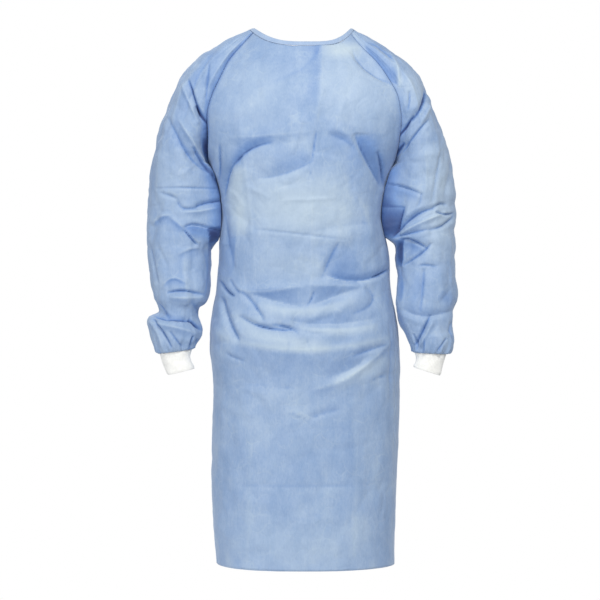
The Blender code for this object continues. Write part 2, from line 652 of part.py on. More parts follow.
def tie_wall(side):
    """A waist tie, from where it is sewn on near its side seam to the knot."""
    rows = row_at(WAIST + np.array([-0.5, 0.0, 0.5])[:, None] * TIE_WIDTH)
    stop = column_at(180.0 + SIGNS[side] * -TIE_STOP, WAIST)
    last = back_turns().shape[1] - 1
    if side == "left":
        columns = np.append(np.arange(TIE_START, stop), stop)
    else:
        columns = np.append(np.arange(last - TIE_START, stop, -1.0), stop)
    return on_back(rows, columns, STRIP_LIFT, TIE_WALL)


def tab_wall():
    """The neck tab, sewn to the wrap-over panel's edge and pressed on the panel under it."""
    rows = row_at(np.linspace(*TAB_LEVELS, 3)[:, None])
    edge = 180.0 + float(smooth(OVERLAPS, "outer", TAB_LEVELS[1]))
    turns = edge + np.linspace(*TAB_TURNS, 7)
    columns = column_at(turns, TAB_LEVELS[1])
    return on_back(rows, columns, STRIP_LIFT, TIE_WALL)


def tie_end_wall(end):
    """A free end that hangs from the knot, spread from its bunched top to its full width."""
    points, normals = cloth(back_turns())
    top = WAIST - KNOT_SIZE[2] / 2 - SEAM_GAP
    levels = np.concatenate([[end.foot_level], LEVELS[(LEVELS > end.foot_level) & (LEVELS < top)], [top]])
    fall = (top - levels) / (top - end.foot_level)
    turns = end.top_turn + (end.foot_turn - end.top_turn) * fall
    rows = row_at(levels)
    columns = np.array([column_at(turn, z) for turn, z in zip(turns, levels)])
    spread = ease(0.0, END_SPREAD, fall)
    half = END_TOP_HALF + (TIE_WIDTH / 2 - END_TOP_HALF) * spread
    lift = END_TOP_LIFT + (END_FOOT_LIFT - END_TOP_LIFT) * fall
    ways = unit(sample(normals, rows, columns))
    middle = sample(points, rows, columns) + ways * lift[:, None]
    across = unit(np.cross(ways, np.array([0.0, 0.0, 1.0])))
    inner = middle[:, None] + across[:, None] * (half[:, None] * np.array([-1.0, 0.0, 1.0]))[..., None]
    return inner + ways[:, None] * TIE_WALL, inner


def add_knot(finish):
    """The waist ties' knot: a rounded lump, flat where it lies on them."""
    points, _ = cloth(back_turns())
    seat = sample(points, row_at(WAIST), column_at(180.0, WAIST))
    seat = seat + np.array([0.0, STRIP_LIFT + TIE_WALL + SEAM_GAP, 0.0])
    ball = bmesh.new()
    bmesh.ops.create_uvsphere(ball, u_segments=14, v_segments=8, radius=0.5)
    depth = KNOT_SIZE[1]
    for vertex in ball.verts:
        x, y, z = (c * size for c, size in zip(vertex.co, KNOT_SIZE))
        y = max(y, -KNOT_FLAT * depth) + KNOT_FLAT * depth
        vertex.co = (x + seat[0], y + seat[1], z + seat[2])
    bmesh.ops.recalc_face_normals(ball, faces=ball.faces)
    add_piece("waist_knot", ball, finish)


SIGNS = {"right": -1.0, "left": 1.0}
SLEEVES = {
    "right": (CAP_RIGHT, ARM_RIGHT, CUFF_RIGHT, RIGHT_SLEEVE_FOLDS),
    "left": (CAP_LEFT, ARM_LEFT, CUFF_LEFT, LEFT_SLEEVE_FOLDS),
}

clear_scene()
gown = bpy.data.collections.new("surgical_gown")
bpy.context.scene.collection.children.link(gown)
gown_cloth = material("gown_cloth", CLOTH_BLUE, 0.75)
cuff_knit = material("cuff_knit", KNIT_WHITE, 0.9)
tab_tape = material("tab_tape", TAPE_PALE, 0.85)

loft("front", front_wall(), gown_cloth)
for side, walls in zip(("left", "right"), back_walls()):
    loft(f"back_{side}", walls, gown_cloth)
for side in SLEEVES:
    walls, first_closed = sleeve_wall(side)
    loft(f"sleeve_{side}", walls, gown_cloth, closed_from=first_closed)
    loft(f"cuff_{side}", cuff_wall(side), cuff_knit, closed_from=0)
    loft(f"waist_tie_{side}", tie_wall(side), gown_cloth)
loft("neck_binding", binding_wall(), gown_cloth)
loft("neck_tab", tab_wall(), tab_tape)
for end in TIE_ENDS:
    loft(f"tie_end_{end.side}", tie_end_wall(end), gown_cloth)
add_knot(gown_cloth)
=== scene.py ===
# %% [markdown]
# # A surgical gown, dressed
#
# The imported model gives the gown's frame: its panels, sleeves, cuffs and ties as plain stiff walls.
# This lesson puts real cloth in their place. Every piece is made in metres where the frame has it,
# so nothing has to be fitted afterwards. +Z is up and the front faces -Y. Right and left are the
# wearer's own, so the right sleeve is at -X.

import json
import math
from collections import namedtuple

import bpy
import numpy as np
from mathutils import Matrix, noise

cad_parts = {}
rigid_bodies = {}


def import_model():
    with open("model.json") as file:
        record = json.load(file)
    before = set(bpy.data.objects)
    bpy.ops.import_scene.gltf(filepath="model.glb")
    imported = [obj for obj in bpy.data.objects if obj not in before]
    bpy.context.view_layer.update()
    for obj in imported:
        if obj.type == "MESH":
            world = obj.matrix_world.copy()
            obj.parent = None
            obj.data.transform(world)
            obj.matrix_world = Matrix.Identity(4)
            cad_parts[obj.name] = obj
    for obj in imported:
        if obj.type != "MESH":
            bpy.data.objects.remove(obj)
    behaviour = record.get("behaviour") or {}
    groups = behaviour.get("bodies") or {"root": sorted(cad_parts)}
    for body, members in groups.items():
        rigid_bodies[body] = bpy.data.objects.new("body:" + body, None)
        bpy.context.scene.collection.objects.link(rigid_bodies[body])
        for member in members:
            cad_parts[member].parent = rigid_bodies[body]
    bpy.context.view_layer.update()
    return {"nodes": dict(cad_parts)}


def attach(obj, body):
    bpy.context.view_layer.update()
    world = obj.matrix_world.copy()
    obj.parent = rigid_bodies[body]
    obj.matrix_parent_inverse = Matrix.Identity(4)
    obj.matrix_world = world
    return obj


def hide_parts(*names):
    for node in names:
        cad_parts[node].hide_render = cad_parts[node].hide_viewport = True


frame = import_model()
MM = 0.001
print("nodes in the frame:", len(frame["nodes"]))

# %% [markdown]
# ## The camera
#
# The gown was photographed straight from the front, a little above the middle of its length, from
# about four metres away. A long lens at that distance keeps the two sleeves and the skirt in the
# proportions of the photograph. The camera is made first, so that each piece can be looked at as
# soon as it is there.

# %% Make the camera
CAMERA_PLACE = (-0.0066, -4.1, -0.5962)
SENSOR = 36.0
SEEN_WIDTH = 1.32
camera = bpy.data.cameras.new("camera")
camera.sensor_width = SENSOR
camera.lens = SENSOR * -CAMERA_PLACE[1] / SEEN_WIDTH
camera_object = bpy.data.objects.new("camera", camera)
camera_object.location = CAMERA_PLACE
camera_object.rotation_euler = (math.radians(90), 0, 0)
bpy.context.scene.collection.objects.link(camera_object)
bpy.context.scene.camera = camera_object
print("lens", round(camera.lens, 1), "mm")

# %% [markdown]
# ## The pattern of the body
#
# A gown is flat cloth, but worn it hangs as a tube. The tube could be draped by simulation, yet the
# photograph fixes its outline so closely that a table of rings is the better way: each ring has its
# half widths at the wearer's right and left and its depths in front and behind, at a level. A place
# on the tube is a turn, the angle round it from the centre front, and a level.

# %% Body tables
NECK, UNDERARM, WAIST, HEM = 0.0, -0.300, -0.548, -1.172
NECK_DROP_FRONT, NECK_DROP_BACK = 0.039, 0.034
NECK_CURVE_RIGHT, NECK_CURVE_LEFT, NECK_CURVE_BACK = 2.8, 4.0, 1.4
NECK_LEAN, NECK_LEAN_POWER = 0.75, 8.0
RING_POWER = 0.85
SEAM_GAP = 0.00005
BINDING_WIDTH = 0.0100
TUBE_TOP = -0.0105

Ring = namedtuple("Ring", "level right left front back")
BODY_RINGS = (
    Ring(-1.172, 0.190, 0.201, 0.149, 0.146),
    Ring(-1.080, 0.198, 0.203, 0.149, 0.146),
    Ring(-0.960, 0.201, 0.208, 0.148, 0.144),
    Ring(-0.850, 0.198, 0.212, 0.147, 0.142),
    Ring(-0.760, 0.198, 0.213, 0.146, 0.140),
    Ring(-0.700, 0.205, 0.212, 0.147, 0.134),
    Ring(-0.655, 0.204, 0.209, 0.146, 0.124),
    Ring(-0.610, 0.197, 0.201, 0.140, 0.109),
    Ring(-0.575, 0.190, 0.194, 0.134, 0.098),
    Ring(-0.548, 0.187, 0.192, 0.131, 0.094),
    Ring(-0.510, 0.185, 0.190, 0.133, 0.100),
    Ring(-0.460, 0.184, 0.181, 0.136, 0.111),
    Ring(-0.410, 0.181, 0.174, 0.138, 0.119),
    Ring(-0.360, 0.186, 0.180, 0.140, 0.124),
    Ring(-0.300, 0.2045, 0.199, 0.141, 0.127),
    Ring(-0.250, 0.2246, 0.222, 0.141, 0.127),
    Ring(-0.216, 0.232, 0.234, 0.140, 0.126),
    Ring(-0.180, 0.238, 0.242, 0.137, 0.123),
    Ring(-0.145, 0.2276, 0.236, 0.131, 0.119),
    Ring(-0.103, 0.205, 0.210, 0.121, 0.112),
    Ring(-0.069, 0.179, 0.176, 0.108, 0.102),
    Ring(-0.040, 0.150, 0.142, 0.098, 0.090),
    Ring(-0.0105, 0.118, 0.113, 0.088, 0.076),
    Ring(0.000, 0.108, 0.105, 0.085, 0.072),
)
Seam = namedtuple("Seam", "level front back")
RAGLAN = (
    Seam(-0.300, 90.0, 90.0),
    Seam(-0.280, 80.0, 78.0),
    Seam(-0.250, 70.0, 67.0),
    Seam(-0.216, 64.0, 60.0),
    Seam(-0.180, 58.5, 56.0),
    Seam(-0.145, 57.5, 54.0),
    Seam(-0.103, 58.0, 54.0),
    Seam(-0.069, 62.0, 57.0),
    Seam(-0.040, 64.0, 60.0),
    Seam(0.000, 67.0, 64.0),
)
SideSeam = namedtuple("SideSeam", "level right left")
SIDE_SEAMS = (
    SideSeam(-1.172, 80.0, 75.0),
    SideSeam(-0.850, 82.0, 68.0),
    SideSeam(-0.620, 84.0, 72.0),
    SideSeam(-0.450, 87.0, 84.0),
    SideSeam(-0.300, 90.0, 90.0),
)
Overlap = namedtuple("Overlap", "level outer under")
OVERLAPS = (
    Overlap(-1.172, 34.0, 30.0),
    Overlap(-0.700, 31.0, 28.0),
    Overlap(-0.300, 25.0, 24.0),
    Overlap(0.000, 24.0, 22.0),
)
SIGNS = {"right": -1.0, "left": 1.0}
print("body rings:", len(BODY_RINGS))

# %% [markdown]
# ## From tables to points
#
# A smooth curve through each column of a table gives the size at any level. The tube's point and
# the way out of the tube follow from that. The neck edge dips between the shoulders, so the levels
# of the yoke dip with it.

# %% Body form
def smooth(table, column, at):
    """The value of a column at a level: a smooth curve through the table's rows."""
    rows = sorted(table, key=lambda row: row.level)
    keys = np.array([row.level for row in rows])
    values = np.array([getattr(row, column) for row in rows])
    return between(keys, values, at)


def between(keys, values, at):
    """Values on a smooth curve through rising keys. A value may be a number or a whole row."""
    slopes = np.gradient(values, keys, axis=0)
    at = np.clip(np.asarray(at, float), keys[0], keys[-1])
    i = np.clip(np.searchsorted(keys, at, side="right") - 1, 0, len(keys) - 2)
    shape = at.shape + (1,) * (values.ndim - 1)
    span = (keys[i + 1] - keys[i]).reshape(shape)
    t = ((at - keys[i]).reshape(shape)) / span
    rise = t * t * (3 - 2 * t)
    start = t * (1 - t) ** 2 * span * slopes[i]
    end = t * t * (t - 1) * span * slopes[i + 1]
    return values[i] * (1 - rise) + values[i + 1] * rise + start + end


def ease(low, high, at):
    """0 below low, 1 above high, and a smooth rise between them."""
    t = np.clip((at - low) / (high - low), 0, 1)
    return t * t * (3 - 2 * t)


def unit(vectors):
    return vectors / np.maximum(np.linalg.norm(vectors, axis=-1, keepdims=True), 1e-9)


def body(turn, level):
    """The point of the body tube at a turn and a level."""
    turn, level = np.broadcast_arrays(np.asarray(turn, float), np.asarray(level, float))
    sine, cosine = np.sin(np.radians(turn)), np.cos(np.radians(turn))
    side = np.sign(sine) * np.abs(sine) ** RING_POWER
    fore = np.sign(cosine) * np.abs(cosine) ** RING_POWER
    width = np.where(side < 0, smooth(BODY_RINGS, "right", level), smooth(BODY_RINGS, "left", level))
    depth = np.where(fore > 0, smooth(BODY_RINGS, "front", level), smooth(BODY_RINGS, "back", level))
    curve = np.where(side < 0, NECK_CURVE_RIGHT, NECK_CURVE_LEFT)
    front_drop = NECK_DROP_FRONT * (1 - np.abs(side) ** curve)
    back_drop = NECK_DROP_BACK * (1 - np.abs(side) ** NECK_CURVE_BACK)
    drop = np.where(fore > 0, front_drop, back_drop)
    lean = NECK_LEAN * np.minimum(NECK - level, BINDING_WIDTH) * np.abs(side) ** NECK_LEAN_POWER
    yoke = np.clip((level - UNDERARM) / (NECK - UNDERARM), 0, 1)
    return np.stack([width * side, -depth * fore, level + (lean - drop) * yoke], axis=-1)


TURN_STEP, LEVEL_STEP = 1.0, 0.004


def body_normal(turn, level):
    """The direction out of the body tube, from two short steps on it."""
    turn, level = np.broadcast_arrays(np.asarray(turn, float), np.asarray(level, float))
    along = body(turn + TURN_STEP, level) - body(turn - TURN_STEP, level)
    low = np.clip(level - LEVEL_STEP, HEM, NECK)
    high = np.clip(level + LEVEL_STEP, HEM, NECK)
    return unit(np.cross(along, body(turn, high) - body(turn, low)))


def even_turns(level, start, stop, count):
    """Turns from start to stop that are evenly spaced along the ring at a level."""
    turns = np.linspace(start, stop, 181)
    steps = np.linalg.norm(np.diff(body(turns, level), axis=0), axis=1)
    run = np.concatenate([[0.0], np.cumsum(steps)])
    return np.interp(np.linspace(0, run[-1], count + 1), run, turns)


def seam_turn(side, panel, level):
    """The turn of a panel's edge: the raglan seam in the yoke, and the side seam below it."""
    level = np.asarray(level, float)
    yoke = smooth(RAGLAN, panel, level)
    if panel == "back":
        yoke = 180.0 - yoke
    return np.where(level >= UNDERARM, yoke, smooth(SIDE_SEAMS, side, level))


def gap_in_degrees(level):
    """Half of a seam's gap as a turn, by the ring's size at that level."""
    size = (smooth(BODY_RINGS, "left", level) + smooth(BODY_RINGS, "front", level)) / 2
    return np.degrees(SEAM_GAP / size)


print("neck edge at the centre front:", np.round(body(0, NECK), 4))

# %% [markdown]
# ## Creases
#
# Nonwoven cloth does not fall in round folds. It has been packed flat, so it breaks into nearly
# plane facets with a line where two of them meet. A crease here is one such line: it runs through
# a start, a middle and an end, as seen from the front, and has a flank on each side with its own
# width. The upper flank is the one towards the top, or towards the wearer's left on an upright
# line. A ridge has a positive height and a trough a negative one. The last value is shade and
# light painted into the cloth's colour. Above zero it is painted shade down in a narrow trough,
# where light only comes in after many turns off blue cloth. Below zero it is partly how far a sharp
# ridge has whitened, as nonwoven does where it was folded, and partly a painted highlight on it. A
# row without height only paints a broad soft patch: painted shade above zero and painted light
# below. A flank that faces down is seen against blue cloth and not against the pale room, so it
# takes a little painted shade as well, and a flank that faces up takes a little painted light.
#
# The lengths are in millimetres. The places are the photograph's: the centre front line left by
# packing, the drag lines under the chest, the pull at the waist where the ties tighten it, and the
# bulge above the skirt. The back has creases of the same kinds, which the ties and the lap cause.

# %% Creases of the body
Crease = namedtuple("Crease", "face x0 z0 x1 z1 x2 z2 upper lower height ink")
BODY_CREASES = (
    Crease("front", 39, -24, 36, -127, 30, -222, 26, 34, 2, 0),
    Crease("front", 37, -49, -6, -103, -105, -142, 32, 30, -2, 0),
    Crease("front", 109, -53, 137, -96, 205, -137, 32, 7, -5, 0.12),
    Crease("front", -66, -262, -113, -275, -142, -303, 14, 9, -4.2, 0.26),
    Crease("front", -132, -290, -160, -324, -172, -375, 9, 8, -4.2, 0.24),
    Crease("front", -60, -258, -121, -273, -170, -358, 22, 12, 0, 0.2),
    Crease("front", -181, -260, -181, -299, -183, -337, 6, 5, -3, 0.35),
    Crease("front", -104, -335, -45, -330, 23, -299, 26, 8, -2.8, 0),
    Crease("front", -100, -335, -38, -326, 23, -299, 42, 3, 0, 0.16),
    Crease("front", -160, -247, -87, -247, 19, -237, 26, 14, 2, 0),
    Crease("front", 113, -241, 128, -281, 172, -354, 30, 9, -5.5, 0),
    Crease("front", 117, -247, 134, -290, 170, -349, 50, 3, 0, 0.28),
    Crease("front", 160, -277, 172, -311, 177, -354, 7, 9, -4, 0.3),
    Crease("front", -6, -460, 79, -439, 164, -430, 16, 14, -1.4, 0),
    Crease("front", 53, -247, 83, -254, 115, -279, 12, 22, -2.2, 0),
    Crease("front", 53, -243, 96, -260, 134, -332, 10, 34, 0, 0.14),
    Crease("front", 28, -237, 23, -269, 19, -299, 3, 4, -2.2, 0.25),
    Crease("front", 13, -309, 15, -324, 19, -341, 3, 4, -1.6, 0.14),
    Crease("front", 17, -341, 19, -405, 17, -451, 4, 8, 1, 0),
    Crease("front", 17, -460, 19, -515, 13, -596, 7, 9, 1, 0),
    Crease("front", -138, -192, -117, -375, -104, -515, 4, 7, 1, 0),
    Crease("front", -104, -445, -6, -456, 92, -468, 3, 5, -1.8, 0.08),
    Crease("front", 79, -471, 60, -507, 40, -551, 10, 20, -3.2, 0),
    Crease("front", 79, -471, 60, -507, 40, -551, 3, 60, 0, 0.14),
    Crease("front", -143, -415, -149, -479, -158, -549, 3, 34, 0, 0.18),
    Crease("front", -174, -394, -162, -468, -149, -532, 10, 12, -2.6, 0),
    Crease("front", 104, -362, 134, -413, 147, -515, 22, 26, 2, 0),
    Crease("front", 49, -541, 117, -556, 190, -528, 14, 8, -5.4, 0.05),
    Crease("front", 151, -547, 170, -541, 190, -528, 3, 4, -3, 0.5),
    Crease("front", 58, -537, 117, -551, 181, -532, 50, 3, 0, 0.13),
    Crease("front", 49, -547, 100, -556, 151, -554, 3, 5, 2.4, -0.3),
    Crease("front", -128, -575, -60, -598, 9, -611, 26, 20, -5.8, -0.32),
    Crease("front", 6, -611, 66, -588, 128, -569, 26, 20, -5.8, -0.32),
    Crease("front", -119, -571, -60, -571, 6, -569, 12, 18, 2.6, 0.12),
    Crease("front", -2, -564, 58, -566, 121, -566, 12, 16, 2.6, 0.12),
    Crease("front", 23, -577, 19, -592, 9, -607, 3, 4, -3, 0.12),
    Crease("front", -183, -551, -166, -575, -147, -588, 4, 5, -5.5, 0.5),
    Crease("front", -158, -551, -147, -569, -134, -581, 4, 8, -3, 0.2),
    Crease("front", -134, -577, -104, -609, -83, -643, 7, 9, -4.6, 0.22),
    Crease("front", -175, -592, -164, -635, -136, -685, 7, 9, -4.4, 0.24),
    Crease("front", -160, -562, -100, -579, -6, -566, 10, 16, 2.4, 0),
    Crease("front", -136, -630, -87, -654, -23, -660, 8, 22, -6, 0.36),
    Crease("front", -66, -649, -36, -654, -8, -668, 5, 8, -4, 0.25),
    Crease("front", -36, -649, 6, -664, 57, -668, 6, 10, -2, 0),
    Crease("front", -23, -639, 59, -647, 164, -632, 26, 18, -4.8, -0.22),
    Crease("front", -193, -668, -6, -702, 198, -673, 50, 56, 6, 0),
    Crease("front", -179, -588, -155, -645, -136, -688, 8, 12, -3.2, 0.05),
    Crease("front", 134, -566, 151, -600, 104, -626, 12, 14, -2.6, 0.08),
    Crease("front", 19, -785, 100, -758, 189, -683, 20, 11, 3.6, 0),
    Crease("front", 49, -764, 104, -743, 142, -711, 26, 14, -3.6, -0.22),
    Crease("front", 104, -717, 147, -702, 183, -692, 12, 6, -3, 0.08),
    Crease("front", 147, -768, 166, -762, 187, -756, 7, 6, -2.6, 0.1),
    Crease("front", -36, -675, -30, -692, -34, -709, 4, 4, -1.6, 0.05),
    Crease("front", 6, -675, 11, -692, 19, -711, 4, 4, -1.8, 0.08),
    Crease("front", -38, -836, -13, -836, 15, -851, 5, 4, 2.6, -0.2),
    Crease("front", 13, -849, 45, -838, 79, -830, 12, 5, -2.8, 0),
    Crease("front", -164, -783, -87, -779, -2, -787, 3, 4, -1.2, 0.05),
    Crease("front", -185, -987, -6, -993, 197, -985, 4, 6, -1.4, 0),
    Crease("front", -164, -709, -147, -719, -121, -728, 5, 4, -2.6, 0),
    Crease("front", 185, -639, 189, -702, 187, -819, 5, 6, -2, 0),
    Crease("front", -121, -819, -113, -978, -125, -1180, 44, 40, 1.4, 0),
    Crease("front", 104, -809, 113, -978, 100, -1180, 38, 44, 1.4, 0),
    # Soft patches without height: painted light where the value is below zero, painted shade above it.
    Crease("front", 90, -49, 105, -137, 96, -224, 90, 80, 0, -0.22),
    Crease("front", 41, -42, 79, -51, 127, -46, 16, 26, 0, -0.56),
    Crease("front", 39, -33, 38, -96, 34, -187, 2, 34, 0, 0.2),
    Crease("front", -88, -82, -87, -148, -74, -224, 60, 60, 0, -0.12),
    Crease("front", -126, -362, -6, -400, 113, -383, 72, 66, 0, -0.46),
    Crease("front", -134, -309, -145, -373, -134, -458, 26, 24, 0, -0.5),
    Crease("front", -96, -603, 4, -620, 109, -594, 9, 14, 0, -0.34),
    Crease("front", -11, -654, 79, -660, 159, -649, 5, 14, 0, -0.36),
    Crease("front", -134, -660, -32, -685, 62, -692, 16, 20, 0, -0.34),
    Crease("front", -155, -622, -117, -643, -87, -630, 14, 14, 0, -0.2),
    Crease("front", -142, -1084, -6, -1123, 146, -1084, 60, 60, 0, -0.16),
    Crease("front", -172, -596, -164, -622, -147, -651, 3, 14, 0, -0.15),
    Crease("front", 62, -775, 110, -749, 181, -719, 8, 22, 0, -0.35),
    Crease("front", -96, -515, -6, -528, 40, -515, 40, 40, 0, -0.2),
    Crease("back", 6, -540, 70, -512, 142, -425, 12, 16, 5.0, 0),
    Crease("back", -6, -540, -66, -508, -138, -432, 12, 16, 5.0, 0),
    Crease("back", 10, -552, 78, -556, 165, -530, 9, 12, -4.0, 0.1),
    Crease("back", -10, -552, -80, -558, -165, -534, 9, 12, -4.0, 0.1),
    Crease("back", 8, -566, 58, -622, 118, -716, 13, 18, 5.4, 0),
    Crease("back", -8, -566, -54, -630, -104, -742, 13, 18, 5.2, 0),
    Crease("back", 30, -575, 96, -602, 172, -650, 10, 14, -5.0, 0.15),
    Crease("back", -32, -576, -92, -606, -170, -640, 10, 14, -5.0, 0.15),
    Crease("back", 4, -580, 30, -700, 44, -860, 20, 26, 3.6, 0),
    Crease("back", -6, -300, 30, -400, 84, -500, 18, 24, 3.4, 0),
    Crease("back", -60, -90, -84, -200, -92, -360, 22, 28, 3.4, 0),
    Crease("back", 70, -100, 92, -210, 96, -350, 20, 26, 3.2, 0),
    Crease("back", -170, -300, -140, -330, -96, -340, 16, 24, -5.0, 0.1),
    Crease("back", 168, -300, 140, -332, 90, -346, 16, 24, -5.0, 0.1),
    Crease("back", -180, -452, 0, -455, 180, -450, 6, 7, -1.2, 0),
    Crease("back", -185, -800, 0, -806, 185, -798, 6, 7, -1.2, 0),
    Crease("back", -185, -1012, 0, -1008, 185, -1010, 6, 7, -1.2, 0),
    Crease("back", -112, -240, -114, -480, -110, -760, 6, 8, 1.0, 0),
    Crease("back", 118, -700, 116, -900, 114, -1172, 6, 8, 1.0, 0),
    Crease("back", -80, -860, -86, -1020, -90, -1180, 34, 40, 3.0, 0),
    Crease("back", 70, -880, 74, -1020, 78, -1180, 34, 40, 3.0, 0),
)
APEX = 0.75
FLANK_POWER = 1.7
TAPER = 0.45
SPREAD, GAIN = 1.35, 1.45
CORE, CORE_SHARE = 2.4, 0.16
# Strengths of the painted shade in troughs and on flanks that face down, of the painted light on flanks
# that face up, and of a ridge's whitening together with its painted highlight.
TROUGH_PAINTED_SHADE, RIDGE_WHITENING_AND_HIGHLIGHT, FLANK_PAINTED_SHADE, FLANK_PAINTED_LIGHT = 0.26, 0.34, 0.24, 0.14
FULL_HEIGHT, NARROW = 6.0, 36.0
STEPS = 16
print("creases on the body:", len(BODY_CREASES))


# %% [markdown]
# ## How a crease lifts the cloth
#
# Each point takes the nearest place on a crease's line. Its distance from the line gives the lift,
# which falls off over the flank's width, and its place along the line fades the crease out towards
# both ends. The result moves the point along the way out of the cloth, so the outline changes as
# little as it does on the real gown.

# %% Crease functions
def crease_line(crease):
    """Points along a crease's line, in metres, through its start, middle and end."""
    t = np.linspace(0, 1, STEPS)[:, None]
    start, middle, end = (np.array(p) * MM for p in zip(crease[1:7:2], crease[2:7:2]))
    bend = 2 * middle - (start + end) / 2
    return (1 - t) ** 2 * start + 2 * t * (1 - t) * bend + t * t * end


def crease_lift(creases, points, normals):
    """How far the creases move each point out, and the shade and light that they paint on it."""
    flat = points.reshape(-1, 3)[:, [0, 2]]
    facing = normals.reshape(-1, 3)[:, 1]
    lift, ink = np.zeros(len(flat)), np.zeros(len(flat))
    for crease in creases:
        line = crease_line(crease)
        reach = max(crease.upper, crease.lower) * SPREAD * MM
        seen = np.clip(2.0 * (-facing if crease.face == "front" else facing), 0, 1)
        near_box = (flat > line.min(0) - reach).all(1) & (flat < line.max(0) + reach).all(1)
        take = np.flatnonzero(near_box & (seen > 0))
        if not len(take):
            continue
        start, run = line[:-1], np.diff(line, axis=0)
        away = flat[take][:, None] - start
        share = np.clip((away * run).sum(-1) / (run * run).sum(-1), 0, 1)
        away = away - share[..., None] * run
        size = np.linalg.norm(away, axis=-1)
        near = size.argmin(axis=1)
        each = np.arange(len(take))
        along = (near + share[each, near]) / len(start)
        chord = line[-1] - line[0]
        up = np.array([-chord[1], chord[0]])
        up = up * np.sign(up @ np.array([0.35, 1.0]) or 1.0)
        above = (away[each, near] @ up) > 0
        width = np.where(above, crease.upper, crease.lower) * SPREAD * MM
        apex = APEX * ((crease.upper + crease.lower) * MM) ** 2
        soft = np.sqrt(size[each, near] ** 2 + apex**2) - apex
        flank = np.clip(1 - soft / width, 0, 1)
        fade = np.sin(np.pi * np.clip(along, 0, 1)) ** TAPER * seen[take]
        lift[take] += GAIN * crease.height * MM * flank**FLANK_POWER * fade
        if crease.height:
            narrow = min(crease.upper, crease.lower)
            core = np.clip(1 - size[each, near] / ((CORE + CORE_SHARE * narrow) * MM), 0, 1)
            full = np.clip(abs(crease.height) / FULL_HEIGHT, 0, 1)
            aside = full * min(1.0, NARROW / (crease.upper + crease.lower)) * np.minimum(flank, 0.7)
            # Painted shade on the flank that faces down, painted light on the flank that faces up.
            tone = np.where(above == (crease.height < 0), FLANK_PAINTED_SHADE, -FLANK_PAINTED_LIGHT) * aside
            # Painted shade along a trough's floor; along a ridge, the whitening of the fold and a painted
            # highlight.
            tone += core * (crease.ink + (TROUGH_PAINTED_SHADE if crease.height < 0 else -RIDGE_WHITENING_AND_HIGHLIGHT) * full)
        else:
            # A row without height paints a soft patch: shade above zero, light below.
            tone = crease.ink * flank**2 * (3 - 2 * flank)
        ink[take] += tone * fade
    return lift.reshape(points.shape[:-1]), np.clip(ink, -1, 1).reshape(points.shape[:-1])


# %% [markdown]
# ## Handling marks
#
# Between the large creases the cloth keeps many faint ones from being packed and handled. They are
# drawn at random with a fixed seed, short and very low, in the directions that such marks take.

# %% Small creases
def small_creases(seed, count, left, right, low, high, face):
    """Faint random creases inside a rectangle, in millimetres."""
    draw = np.random.default_rng(seed)
    made = []
    for _ in range(count):
        x, z = draw.uniform(left, right), draw.uniform(low, high)
        angle = draw.normal(0.0, 0.5) + (math.pi / 2 if draw.random() < 0.45 else 0.0)
        half = draw.uniform(18, 62)
        dx, dz = half * math.cos(angle), half * math.sin(angle)
        bow = draw.normal(0.0, 0.10) * half
        upper, lower = draw.uniform(5, 26), draw.uniform(5, 26)
        height = draw.choice([-1.0, 1.0]) * draw.uniform(0.5, 1.6)
        made.append(Crease(face, x - dx, z - dz, x - bow * math.sin(angle),
                           z + bow * math.cos(angle), x + dx, z + dz, upper, lower, height, 0))
    return tuple(made)


BODY_SMALL = (
    small_creases(11, 100, -190, 195, -700, -60, "front")
    + small_creases(12, 45, -190, 195, -1150, -700, "front")
    + small_creases(13, 130, -190, 195, -1150, -60, "back")
)
print("small creases on the body:", len(BODY_SMALL))

# %% [markdown]
# ## Crumple
#
# Over all of it lies the crumple of cloth that was folded into a small packet: cells with nearly
# plane sides that meet in blurred lines. The distance from a point to the border between its two
# nearest seeds gives such cells, and two sizes of them together look unplanned.

# %% Crumple
Cells = namedtuple("Cells", "size stretch height")
BODY_CRUMPLE = (Cells(0.085, 1.5, 0.0040), Cells(0.040, 1.2, 0.0018))
SLEEVE_CRUMPLE = (Cells(0.062, 1.1, 0.0052), Cells(0.030, 1.0, 0.0020))


def crumple(layers, points):
    """How far the crumple moves each point out."""
    flat = points.reshape(-1, 3)
    lift = np.zeros(len(flat))
    for cells in layers:
        scaled = flat / (cells.size * np.array([1.0, 1.0, cells.stretch]))
        near = [noise.voronoi(place)[0] for place in scaled.tolist()]
        near = np.array([(d[0], d[1]) for d in near])
        lift += cells.height * (np.minimum(near[:, 1] - near[:, 0], 0.6) - 0.25)
    return lift.reshape(points.shape[:-1])


# %% [markdown]
# ## Building a sheet
#
# A panel is a grid of points with one wall of cloth behind it. The grid is written straight into a
# mesh, because its points come from the pattern, and a Solidify modifier then gives the cloth its
# thickness. The shade and light painted along the creases go with it as an attribute that the
# material reads.

# %% Sheet builder
CLOTH_WALL = 0.0005


